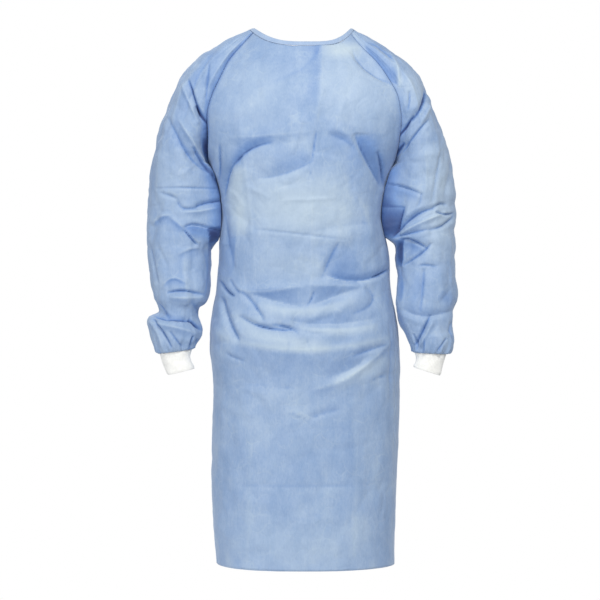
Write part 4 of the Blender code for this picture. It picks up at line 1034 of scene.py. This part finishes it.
LEFT_SLEEVE_CREASES = (
    Crease("front", 110, -50, 138, -91, 207, -132, 32, 7, -5, 0.12),
    Crease("front", 188, -56, 203, -93, 207, -136, 7, 9, 3.4, 0),
    Crease("front", 134, -35, 175, -52, 201, -91, 14, 10, -3.4, 0.05),
    Crease("front", 136, -35, 153, -91, 205, -128, 30, 3, 0, 0.3),
    Crease("front", 102, -15, 117, -39, 132, -69, 12, 9, 0, -0.5),
    Crease("front", 190, -71, 203, -99, 209, -138, 8, 6, 0, -0.36),
    Crease("front", 257, -104, 268, -153, 233, -210, 5, 10, -7.5, 0.85),
    Crease("front", 240, -199, 218, -229, 203, -264, 4, 6, -7, 0.7),
    Crease("front", 218, -255, 201, -290, 181, -341, 7, 6, -7.5, 0.95),
    Crease("front", 274, -205, 244, -238, 214, -277, 4, 7, -4.4, 0.2),
    Crease("front", 279, -125, 276, -169, 253, -216, 8, 6, 4.4, 0),
    Crease("front", 274, -160, 289, -190, 298, -225, 6, 7, -3.2, 0.25),
    Crease("front", 229, -145, 229, -164, 225, -186, 4, 5, -3, 0.2),
    Crease("front", 261, -272, 266, -326, 261, -380, 5, 5, 1.8, 0),
    Crease("front", 298, -272, 289, -328, 279, -385, 6, 6, -3, 0.12),
    Crease("front", 322, -272, 317, -326, 305, -380, 9, 12, -2.2, 0),
    Crease("front", 194, -344, 222, -354, 257, -369, 5, 7, -4.6, 0.12),
    Crease("front", 194, -346, 222, -359, 255, -372, 2, 18, 0, 0.24),
    Crease("front", 255, -365, 253, -380, 248, -395, 4, 4, -2.4, 0.1),
    Crease("front", 179, -391, 199, -393, 220, -393, 30, 2, 0, 0.26),
    Crease("front", 218, -393, 209, -426, 197, -462, 8, 12, -4, 0),
    Crease("front", 218, -393, 209, -426, 197, -462, 2, 30, 0, 0.75),
    Crease("front", 197, -458, 238, -417, 287, -398, 9, 7, -7.4, 0.42),
    Crease("front", 279, -400, 298, -389, 315, -391, 5, 5, -4.4, 0.25),
    Crease("front", 287, -404, 309, -410, 330, -406, 3, 5, -5.6, 0.45),
    Crease("front", 330, -410, 307, -434, 270, -445, 6, 6, -4.6, 0.32),
    Crease("front", 274, -443, 235, -452, 199, -460, 6, 5, -3.8, 0.22),
    Crease("front", 209, -454, 257, -428, 313, -406, 5, 8, 4.4, -0.1),
    Crease("front", 209, -464, 240, -471, 268, -486, 5, 6, -5.2, 0.3),
    Crease("front", 209, -467, 238, -477, 263, -488, 2, 20, 0, 0.24),
    Crease("front", 276, -473, 259, -493, 215, -521, 5, 5, -4.4, 0.28),
    Crease("front", 216, -464, 216, -493, 211, -525, 2, 22, 0, 0.85),
    Crease("front", 207, -527, 215, -562, 211, -601, 3, 14, 0, 0.3),
    Crease("front", 204, -607, 213, -644, 232, -695, 3, 12, 0, 0.25),
    Crease("front", 247, -523, 267, -521, 290, -525, 4, 5, -3, 0.12),
    Crease("front", 260, -527, 256, -575, 250, -622, 5, 7, -3.2, 0.14),
    Crease("front", 258, -536, 254, -575, 247, -618, 2, 24, 0, 0.14),
    Crease("front", 213, -613, 260, -631, 331, -616, 16, 8, -4, -0.15),
    Crease("front", 295, -579, 312, -592, 327, -605, 16, 16, 0, 0.18),
    Crease("front", 275, -628, 258, -661, 241, -695, 5, 8, -5.4, 0.38),
    Crease("front", 278, -644, 265, -669, 252, -695, 4, 5, 2.6, 0),
    Crease("front", 308, -678, 297, -691, 288, -706, 3, 4, -3.4, 0.2),
    Crease("front", 260, -678, 260, -691, 260, -708, 3, 3, -3, 0.2),
    Crease("front", 237, -669, 243, -684, 247, -704, 3, 3, -3, 0.2),
    Crease("front", 321, -644, 316, -661, 323, -687, 4, 5, -2.4, 0.1),
    Crease("front", 209, -91, 240, -147, 253, -207, 10, 12, 2, 0),
    Crease("front", 209, -104, 235, -143, 242, -182, 34, 24, 0, -0.22),
    Crease("front", 283, -251, 296, -359, 295, -514, 44, 40, 0, -0.3),
    Crease("back", 322, -402, 270, -436, 212, -430, 12, 14, -6.0, 0.15),
    Crease("back", 318, -446, 268, -462, 214, -450, 8, 12, 4.6, 0),
    Crease("back", 314, -494, 270, -508, 212, -494, 10, 12, -5.6, 0.15),
    Crease("back", 306, -556, 268, -588, 226, -634, 12, 12, -4.0, 0.1),
    Crease("back", 270, -150, 250, -240, 234, -340, 14, 18, 3.6, 0),
    Crease("back", 296, -240, 294, -330, 298, -420, 16, 18, -2.8, 0),
)
SLEEVE_SMALL = {
    "right": small_creases(21, 34, -335, -215, -680, -60, "front")
    + small_creases(22, 34, -335, -215, -680, -60, "back"),
    "left": small_creases(23, 34, 215, 335, -680, -60, "front")
    + small_creases(24, 34, 215, 335, -680, -60, "back"),
}
SLEEVES = {
    "right": (CAP_RIGHT, ARM_RIGHT, CUFF_RIGHT, RIGHT_SLEEVE_CREASES),
    "left": (CAP_LEFT, ARM_LEFT, CUFF_LEFT, LEFT_SLEEVE_CREASES),
}
print("creases on the sleeves:", len(RIGHT_SLEEVE_CREASES), len(LEFT_SLEEVE_CREASES))

# %% Sleeve form
UNDERARM_CLEAR = 0.0007


def raglan_ends(side, level):
    """The front and back seam points of a sleeve at a level."""
    sign, gap = SIGNS[side], gap_in_degrees(level)
    turns = (seam_turn(side, "front", level) + gap, seam_turn(side, "back", level) - gap)
    if level <= UNDERARM:
        return [body(sign * 90.0, level) + body_normal(sign * 90.0, level) * UNDERARM_CLEAR] * 2
    return [body(sign * turn, level) for turn in turns]


def arc(front, back, out, depth, share):
    """Points from the front seam over the outermost point to the back seam."""
    middle, chord = (front + back) / 2, (front - back) / 2
    reach = min(np.linalg.norm(chord) / depth, 1.0)
    tuck = math.acos(reach)
    fore = depth * (unit(chord) if reach > 1e-6 else np.array([0.0, -1.0, 0.0]))
    swing = (out - middle) / (1 + math.sin(tuck))
    angle = (-tuck + (math.pi + 2 * tuck) * share)[:, None]
    return out - swing + swing * np.sin(angle) + fore * np.cos(angle)


def ring(arm, share):
    """A closed ring, from its innermost point round its front and back."""
    out = np.array([arm.out_x, arm.mid_y, arm.out_z])
    inside = np.array([arm.in_x, arm.mid_y, arm.in_z])
    angle = (2 * math.pi * share - math.pi / 2)[:, None]
    fore = np.array([0.0, -arm.depth, 0.0])
    points = (out + inside) / 2 + (out - inside) / 2 * np.sin(angle) + fore * np.cos(angle)
    points[-1] = points[0]
    return points


def cap_row(side, level, share):
    """A row of the yoke's sleeve. Near the neck it lies on the body tube."""
    caps = SLEEVES[side][0]
    front, back = raglan_ends(side, level)
    row = min(level, caps[0].level)
    out = np.array([float(smooth(caps, column, row)) for column in ("out_x", "out_y", "out_z")])
    depth = float(smooth(caps, "depth", row))
    if level <= caps[0].level:
        return arc(front, back, out, depth, share)
    ends = raglan_ends(side, row)
    low = arc(*ends, out, depth, share)
    start, end = seam_turn(side, "front", TUBE_TOP), seam_turn(side, "back", TUBE_TOP)
    high = body(SIGNS[side] * (start + (end - start) * share), TUBE_TOP)
    up = (level - row) / (TUBE_TOP - row)
    points = low + (high - low) * up
    return points + (front - points[0]) * (1 - share)[:, None] + (back - points[-1]) * share[:, None]


def outward(points, closed, sign):
    """The ways out of a sleeve's grid of points, whose rows run down the arm."""
    down, across = np.gradient(points, axis=0), np.gradient(points, axis=1)
    rows = np.flatnonzero(closed)
    across[rows, 0] = across[rows, -1] = points[rows, 1] - points[rows, -2]
    down[rows, 0] = down[rows, -1] = (down[rows, 0] + down[rows, -1]) / 2
    return sign * unit(np.cross(across, down))


HUG_DEPTH, HUG_MIDDLE, HUG_REACH = 0.0125, -0.034, 0.028
SLEEVE_CUT = {"right": 0.29, "left": 0.28}
BODY_CLEAR = 0.0014


def beside_body(points, side):
    """Lays the sleeve's inner side against the body, a little in front of the body's own side."""
    sign, x, y, z = SIGNS[side], *np.moveaxis(points, -1, 0)
    across = x * sign
    inner, outer = across.min(axis=1)[:, None], across.max(axis=1)[:, None]
    inside = ease(0.55, 0.95, (outer + inner - 2 * across) / (outer - inner))
    bump = np.exp(-(((y - HUG_MIDDLE) / HUG_REACH) ** 2))
    across = across - HUG_DEPTH * bump * inside * crevice(z)
    bend = 2 / RING_POWER
    panel = np.where(y < 0, smooth(BODY_RINGS, "front", z), smooth(BODY_RINGS, "back", z))
    depth = np.clip(1 - (np.abs(y) / panel) ** bend, 0, 1) ** (1 / bend)
    wall = smooth(BODY_RINGS, side, z) * depth + BODY_CLEAR
    across = np.where(z < UNDERARM - 0.012, np.maximum(across, wall), across)
    # The second result marks where painted shade goes on the sleeve.
    return np.stack([across * sign, y, z], axis=-1), inside * crevice(z)


def relax(points, closed, rounds):
    """Softens the kinks between rows. The seams and the two end rows stay."""
    for _ in range(rounds):
        middle = (points[:-2] + points[2:]) / 2
        moved = points.copy()
        moved[1:-1] += 0.5 * (middle - points[1:-1])
        moved[~closed, 0], moved[~closed, -1] = points[~closed, 0], points[~closed, -1]
        points = moved
    return points


# %% [markdown]
# ## Gathers at the cuff
#
# The sleeve is much wider than the cuff, so it is gathered when it is sewn on. Gathers are waves
# that are deepest at the seam and die out up the arm, uneven in width and height. They are a sum
# of a few waves with fixed phases, which gives the uneven rhythm of hand-fed cloth.

# %% Sleeves
SLEEVE_COLUMNS = 152
YOKE_ROWS, ARM_ROWS = 118, 184
GATHER_WAVES = ((9, 0.0013, 0.6), (14, 0.0009, 2.1), (23, 0.0007, 4.0))
GATHER_LENGTH = 0.060
SEW_CLEAR = 0.0018


def gathers(share, above, phase):
    """Lift of the gathers round a sleeve, by its distance above the cuff seam."""
    wave = sum(size * (1 + np.cos(2 * math.pi * count * share + start + phase))
               for count, size, start in GATHER_WAVES)
    rise = ease(0.0, 0.006, above) * (1 - ease(0.004, GATHER_LENGTH, above)) ** 1.6
    return wave * (0.25 + rise)


def make_sleeve(side):
    caps, arms, cuff, creases = SLEEVES[side]
    share = np.linspace(0, 1, SLEEVE_COLUMNS + 1)
    levels = np.linspace(TUBE_TOP, UNDERARM, YOKE_ROWS)
    yoke = [cap_row(side, level, share) for level in levels]
    sewn = ring(cuff[1], share)
    middle = sewn[:-1].mean(axis=0)
    sewn = sewn + unit(sewn - middle) * SEW_CLEAR
    keys = np.array([cap_row(side, caps[-2].level, share), yoke[-1]]
                    + [ring(arm, share) for arm in arms] + [sewn])
    run = np.concatenate([[0.0], np.cumsum(np.linalg.norm(np.diff(keys, axis=0), axis=-1).mean(1))])
    arm_rows = between(run, keys, np.linspace(run[1], run[-1], ARM_ROWS)[1:])
    points = np.concatenate([np.array(yoke), arm_rows])
    closed = np.arange(len(points)) >= YOKE_ROWS - 1
    points = relax(points, closed, 6)
    points[closed, -1] = points[closed, 0]
    points[closed], _ = beside_body(points[closed], side)
    ways = outward(points, closed, -SIGNS[side])
    lift, ink = crease_lift(creases, points, ways)
    lift = lift + crease_lift(SLEEVE_SMALL[side], points, ways)[0] + crumple(SLEEVE_CRUMPLE, points)
    to_seam = np.minimum(share, 1 - share)[None, :]
    calm = np.where(closed[:, None], 1.0, ease(0.0, 0.05, to_seam))
    down = np.concatenate([[0.0], np.cumsum(np.linalg.norm(np.diff(points, axis=0), axis=-1).mean(1))])
    above = (down[-1] - down)[:, None]
    lift = lift * calm * ease(0.0, 0.012, above) + gathers(share[None, :], above, SIGNS[side])
    points = points + ways * lift[..., None]
    points[closed], beside = beside_body(points[closed], side)
    # Painted shade on the sleeve where it lies against the body.
    ink[closed] = np.clip(ink[closed] + CREVICE_PAINTED_SHADE * beside, -1, 1)
    for edge, panel in ((0, "front"), (-1, "back")):
        points[~closed], ink[~closed] = fold_at_edge(points[~closed], ink[~closed], edge, side,
                                                     panel, levels[:-1])
    points[closed, -1] = points[closed, 0]
    piece = sheet_mesh(f"gown_sleeve_{side}", points, ways, ink, closed_from=YOKE_ROWS - 1)
    declare(piece, f"sleeve_{side}", gown_cloth, (0.52, 0.80),
            area=SLEEVE_CUT[side])
    return piece


sleeves = {side: make_sleeve(side) for side in SLEEVES}

# %% [markdown]
# ## Knitted cuffs
#
# The cuff is a short tube of rib knit. Its ribs stand out of the tube by about half a millimetre
# and swell slightly along their length. Near the mouth the tube curves in a little.

# %% Cuffs
RIBS = 58
RIB_COLUMNS = 8
RIB_HEIGHT = 0.00055
CUFF_ROWS = 34
TURN_IN = 0.010
KNIT_WALL = 0.0012


def make_cuff(side):
    table = SLEEVES[side][2]
    share = np.linspace(0, 1, RIBS * RIB_COLUMNS + 1)
    keys = np.array([ring(arm, share) for arm in table])
    run = np.concatenate([[0.0], np.cumsum(np.linalg.norm(np.diff(keys, axis=0), axis=-1).mean(1))])
    points = between(run, keys, np.linspace(0, run[-1], CUFF_ROWS))
    closed = np.ones(len(points), bool)
    points[:, -1] = points[:, 0]
    ways = outward(points, closed, -SIGNS[side])
    along = np.linspace(0, 1, CUFF_ROWS)[:, None]
    wander = 0.10 * np.sin(2 * math.pi * (3 * share[None, :] + 0.7 * along))
    ribs = np.abs(np.cos(math.pi * RIBS * share[None, :] + wander * math.pi)) ** 0.8
    swell = 0.00035 * np.sin(2 * math.pi * (5 * share[None, :] + 1.3 * along))
    round_mouth = -0.0016 * ease(0.90, 1.0, along)
    lift = RIB_HEIGHT * (ribs - 0.5) + swell + round_mouth
    points = points + ways * lift[..., None]
    points[:, -1] = points[:, 0]
    piece = sheet_mesh(f"gown_cuff_{side}", points, ways, wall=KNIT_WALL, closed_from=0)
    declare(piece, f"cuff_{side}", cuff_knit, (0.160, 0.058))
    return piece


cuffs = {side: make_cuff(side) for side in SLEEVES}

# %% [markdown]
# ## Neck binding
#
# A narrow strip of the same cloth is folded over the neck edge and topstitched. It is made paler
# than the panels: partly because it is several layers thick, and partly as painted light, since it
# lies flat to the light. Its fold is a soft roll, and the stitching pulls a small dimple at each stitch.

# %% Binding
BINDING_WALL = 0.0014
BINDING_COLUMNS, BINDING_ROWS = 420, 12
STITCH_STEP = 0.0034
under_turn = 180.0 + float(smooth(OVERLAPS, "under", NECK))
over_turn = 180.0 + float(smooth(OVERLAPS, "outer", NECK))
LAP_SINK = 0.0042
BINDING_LIFT = 0.0002


def binding_points(turns, levels):
    """Points on the outside of the neck binding, and the ways out of it."""
    sunk = LAP_SINK * (1 - ease(over_turn - 360.0, over_turn - 360.0 + UNDER_RAMP, turns))
    normals = body_normal(turns, np.minimum(levels, NECK - LEVEL_STEP))
    return body(turns, levels) + normals * (BINDING_LIFT - sunk)[..., None], normals


turns = np.linspace(-under_turn, over_turn, BINDING_COLUMNS + 1)[None, :]
across = np.linspace(0, 1, BINDING_ROWS)[:, None]
turns, across = np.broadcast_arrays(turns, across)
points, ways = binding_points(turns, NECK - BINDING_WIDTH * (1 - across))
run = np.linspace(0, 0.68, BINDING_COLUMNS + 1)[None, :]
roll = 0.0007 * np.sin(math.pi * across) ** 0.7
dimple = -0.00035 * np.exp(-(((across - 0.16) / 0.09) ** 2))
dimple = dimple * (1 + np.cos(2 * math.pi * run / STITCH_STEP)) / 2
pucker = 0.00016 * np.sin(2 * math.pi * (run / 0.0062 + 0.8 * across)) * np.sin(math.pi * across)
points = points + ways * (roll + dimple + pucker)[..., None]
neck_binding = sheet_mesh("gown_neck_binding", points, ways, wall=BINDING_WALL)
declare(neck_binding, "neck_binding", binding_cloth, (0.68, 0.0125))

# %% [markdown]
# ## Neck tab and waist ties
#
# These are hidden behind the gown in the photograph, but it could not be worn without them. They
# are plain flat strips that lie on the back's own cloth: the tab of hook-and-loop tape holds the
# neck closed, and the ties run from the side seams to a knot at the centre back.

# %% Strips on the back
TIE_WIDTH = 0.024
TIE_WALL = 0.0012
STRIP_LIFT = 0.0008
TIE_START, TIE_STOP = 24.0, 3.2
TIE_LONG = {"right": 0.198, "left": 0.218}
KNOT_SIZE = (0.040, 0.017, 0.034)


def strip(name, turns, levels, lift, wall):
    """A flat strip on the back's cloth. Its long edges are rolled and its middle is slack."""
    points, ways, _ = cloth(turns, levels)
    across = np.linspace(-1, 1, points.shape[0])[:, None]
    along = np.linspace(0, 1, points.shape[1])[None, :]
    edge = 0.0005 * ease(0.72, 0.95, np.abs(across))
    slack = 0.0005 * (1 + np.sin(2 * math.pi * (2.3 * along + 0.35 * across))) * (1 - across**2)
    points = points + ways * (lift + wall + edge + slack)[..., None]
    return sheet_mesh(name, points, ways, wall=wall)


TAB_TURNS, TAB_LEVELS = (-20.0, 5.0), (-0.036, -0.014)
tab_edge = 180.0 + float(smooth(OVERLAPS, "outer", TAB_LEVELS[1]))
tab_turns = np.linspace(tab_edge + TAB_TURNS[0], tab_edge + TAB_TURNS[1], 33)[None, :]
tab_levels = np.linspace(*TAB_LEVELS, 17)[:, None]
middle_level = sum(TAB_LEVELS) / 2
corner = np.abs(np.linspace(-1, 1, 33)) ** 8
tab_levels = middle_level + (tab_levels - middle_level) * (1 - 0.25 * corner[None, :])
neck_tab = strip("gown_neck_tab", tab_turns, tab_levels, STRIP_LIFT, TIE_WALL)
declare(neck_tab, "neck_tab", tab_tape, (0.066, 0.023))
for side in SIGNS:
    level = WAIST
    start = float(seam_turn(side, "back", level)) + TIE_START
    start = start if side == "left" else 360.0 - start
    end = 180.0 - SIGNS[side] * TIE_STOP
    tie_turns = np.linspace(start, end, 90)[None, :]
    tie_levels = level + np.linspace(-0.5, 0.5, 13)[:, None] * TIE_WIDTH
    pinch = 1 - 0.45 * ease(0.90, 1.0, np.linspace(0, 1, 90))
    tie_levels = level + (tie_levels - level) * pinch[None, :]
    tie = strip(f"gown_waist_tie_{side}", tie_turns, tie_levels, STRIP_LIFT, TIE_WALL)
    declare(tie, f"waist_tie_{side}", gown_cloth, (TIE_LONG[side], TIE_WIDTH))

# %% Free ends of the ties
TieEnd = namedtuple("TieEnd", "side top_turn foot_turn foot_level")
TIE_ENDS = (TieEnd("right", 181.2, 186.0, -0.826), TieEnd("left", 178.8, 172.5, -0.872))
END_TOP_HALF, END_SPREAD = 0.0038, 0.35
END_TOP_LIFT, END_FOOT_LIFT = 0.0047, 0.0022
for end in TIE_ENDS:
    top = WAIST - KNOT_SIZE[2] / 2 - SEAM_GAP
    fall = np.linspace(0, 1, 80)
    levels = top + (end.foot_level - top) * fall
    turns = end.top_turn + (end.foot_turn - end.top_turn) * fall
    points, ways, _ = cloth(turns, levels)
    ways = unit(ways * np.array([1.0, 1.0, 0.0]))
    half = END_TOP_HALF + (TIE_WIDTH / 2 - END_TOP_HALF) * ease(0.0, END_SPREAD, fall)
    side_way = unit(np.cross(ways, np.array([0.0, 0.0, 1.0])))
    lift = END_TOP_LIFT + (END_FOOT_LIFT - END_TOP_LIFT) * fall + 0.0014
    across = np.linspace(-1, 1, 13)
    wave = 0.0012 * np.sin(2 * math.pi * 1.6 * fall)[:, None] * across[None, :] * fall[:, None]
    cup = 0.0010 * (1 - fall)[:, None] * (1 - across[None, :] ** 2)
    grid = points[:, None] + side_way[:, None] * (half[:, None] * across)[..., None]
    grid = grid + ways[:, None] * (lift[:, None] + np.abs(wave) + cup)[..., None]
    grid_ways = np.broadcast_to(ways[:, None], grid.shape)
    piece = sheet_mesh(f"gown_tie_end_{end.side}", grid, grid_ways, wall=0.0008)
    declare(piece, f"tie_end_{end.side}", gown_cloth,
            (TIE_WIDTH, top - end.foot_level + 0.004))

# %% [markdown]
# ## The knot
#
# The two ties meet in a small flat knot. It starts as a sphere, flattened on the side that lies on
# the ties, and its surface is drawn into bands that cross, as the wraps of a knot do.

# %% Knot
KNOT_FLAT = 0.2
bpy.ops.object.select_all(action="DESELECT")
seat = cloth(180.0, WAIST)[0] + np.array([0.0, STRIP_LIFT + TIE_WALL + 0.0022, 0.0])
bpy.ops.mesh.primitive_uv_sphere_add(segments=56, ring_count=32, radius=0.5)
knot = bpy.context.object
knot.name = "gown_waist_knot"
shape = np.array([v.co for v in knot.data.vertices]) * np.array(KNOT_SIZE)
across = (shape[:, 0] * 0.55 + shape[:, 2]) / KNOT_SIZE[2]
other = (shape[:, 0] * -0.65 + shape[:, 2] * 0.8) / KNOT_SIZE[2]
wrap = 0.0016 * np.cos(across * 15.0) * ease(-0.15, 0.25, shape[:, 0] / KNOT_SIZE[0] + 0.2)
wrap = wrap + 0.0013 * np.cos(other * 17.0) * ease(-0.1, 0.3, -shape[:, 0] / KNOT_SIZE[0])
shape = shape * 0.93 + unit(shape) * wrap[:, None]
flat_side = -KNOT_FLAT * KNOT_SIZE[1]
shape[:, 1] = np.maximum(shape[:, 1], flat_side) - flat_side
knot.data.vertices.foreach_set("co", (shape + seat).astype(np.float32).ravel())
knot.data.attributes.new("ink", "FLOAT", "POINT")
knot.data.materials.append(gown_cloth)
knot.data.shade_smooth()
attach(knot, "root")
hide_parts("waist_knot")
print("knot faces:", len(knot.data.polygons))

# %% [markdown]
# ## Topstitching on the binding
#
# A lockstitch shows as a row of short threads with a small space between them. One stitch is a
# stretched ball with few faces, and the row is many copies of it in one mesh, laid end to end along
# the lower edge of the binding.

# %% Stitches
bpy.ops.object.select_all(action="DESELECT")
bpy.ops.mesh.primitive_uv_sphere_add(segments=6, ring_count=5, radius=0.5)
ball = bpy.context.object
stitch = np.array([v.co for v in ball.data.vertices])
stitch_faces = [tuple(face.vertices) for face in ball.data.polygons]
bpy.data.objects.remove(ball)
STITCH_LONG, STITCH_THICK = 0.0025, 0.0005
STITCH_LEVEL = NECK - BINDING_WIDTH * 0.84
fine = np.linspace(-under_turn + 2, over_turn - 2, 2400)
line, line_ways = binding_points(fine, np.full(fine.shape, STITCH_LEVEL))
run = np.concatenate([[0.0], np.cumsum(np.linalg.norm(np.diff(line, axis=0), axis=1))])
marks = np.arange(STITCH_STEP, run[-1] - STITCH_STEP, STITCH_STEP)
centres = np.stack([np.interp(marks, run, line[:, i]) for i in range(3)], axis=1)
ahead = np.stack([np.interp(marks + 0.001, run, line[:, i]) for i in range(3)], axis=1)
outs = unit(np.stack([np.interp(marks, run, line_ways[:, i]) for i in range(3)], axis=1))
along = unit(ahead - centres)
up = unit(np.cross(outs, along))
thread = (centres[:, None] + outs[:, None] * 0.0003
          + along[:, None] * (stitch[:, 0] * STITCH_LONG)[None, :, None]
          + up[:, None] * (stitch[:, 1] * STITCH_THICK)[None, :, None]
          + outs[:, None] * (stitch[:, 2] * STITCH_THICK)[None, :, None])
faces = [tuple(v + n * len(stitch) for v in face) for n in range(len(marks)) for face in stitch_faces]
mesh = bpy.data.meshes.new("neck_stitches")
mesh.from_pydata(thread.reshape(-1, 3).tolist(), [], faces)
mesh.shade_smooth()
neck_stitches = bpy.data.objects.new("neck_stitches", mesh)
bpy.context.scene.collection.objects.link(neck_stitches)
thread_finish, nodes, links, shader = new_material("sewing_thread", 0.6, 0.2, (1, 1, 1), 0.4)
twist = object_noise(nodes, links, 1500.0, (1.0, 1.0, 1.0), 2.0, 0.5)
links.new(ramp(nodes, links, twist, ((0.3, (0.50, 0.62, 0.82)), (0.7, (0.66, 0.76, 0.90)))),
          shader.inputs["Base Color"])
mesh.materials.append(thread_finish)
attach(neck_stitches, "root")
print("stitches:", len(marks))

# %% [markdown]
# ## Floor, light and background
#
# The photograph is a cut-out on white, lit softly from the front and a little from the upper right.
# A large soft lamp on that side, a weaker one on the other and an even pale surround give the same
# low contrast, with shade only in the creases and between the sleeves and the body, where the
# cloth also carries painted shade.

# %% Stage
FLOOR_LEVEL, FLOOR_RADIUS = -1.38, 0.70
bpy.ops.object.select_all(action="DESELECT")
bpy.ops.mesh.primitive_cylinder_add(vertices=96, radius=FLOOR_RADIUS, depth=0.02,
                                    location=(0, 0, FLOOR_LEVEL - 0.01))
floor = bpy.context.object
floor.name = "floor"
pale, nodes, links, shader = new_material("pale_floor", 0.9, 0.0, (1, 1, 1), 0.1)
shader.inputs["Base Color"].default_value = (0.93, 0.93, 0.94, 1.0)
floor.data.materials.append(pale)

world = bpy.data.worlds.new("surround")
bpy.context.scene.world = world
world.use_nodes = True
nodes, links = world.node_tree.nodes, world.node_tree.links
surround = nodes["Background"]
surround.inputs["Color"].default_value = (0.92, 0.95, 1.0, 1.0)
surround.inputs["Strength"].default_value = 0.50
seen = add_node(nodes, "ShaderNodeBackground")
seen.inputs["Color"].default_value = (1.0, 1.0, 1.0, 1.0)
seen.inputs["Strength"].default_value = 1.0
path = add_node(nodes, "ShaderNodeLightPath")
choose = add_node(nodes, "ShaderNodeMixShader")
links.new(path.outputs["Is Camera Ray"], choose.inputs[0])
links.new(surround.outputs[0], choose.inputs[1])
links.new(seen.outputs[0], choose.inputs[2])
links.new(choose.outputs[0], nodes["World Output"].inputs["Surface"])

Lamp = namedtuple("Lamp", "name place aim size power colour")
LAMPS = (
    Lamp("key", (0.80, -2.25, 1.7), (0, 0, -0.4), 0.8, 47.0, (1.0, 0.97, 0.91)),
    Lamp("fill", (-1.7, -3.3, 0.1), (0, 0, -0.6), 2.2, 52.0, (0.985, 0.985, 0.985)),
    Lamp("behind", (-1.5, 3.0, 1.4), (0, 0, -0.6), 1.6, 58.0, (1.0, 1.0, 1.0)),
)
for lamp in LAMPS:
    data = bpy.data.lights.new(lamp.name, "AREA")
    data.shape = "DISK"
    data.size, data.energy, data.color = lamp.size, lamp.power, lamp.colour
    made = bpy.data.objects.new(lamp.name, data)
    made.location = lamp.place
    made.visible_glossy = lamp.name != "behind"
    aim = np.array(lamp.aim) - np.array(lamp.place)
    flat = math.hypot(aim[0], aim[1])
    made.rotation_euler = (math.atan2(flat, -aim[2]), 0, math.atan2(aim[1], aim[0]) - math.pi / 2)
    bpy.context.scene.collection.objects.link(made)
bpy.context.scene.view_settings.view_transform = "Standard"
print("lamps:", [lamp.name for lamp in LAMPS])
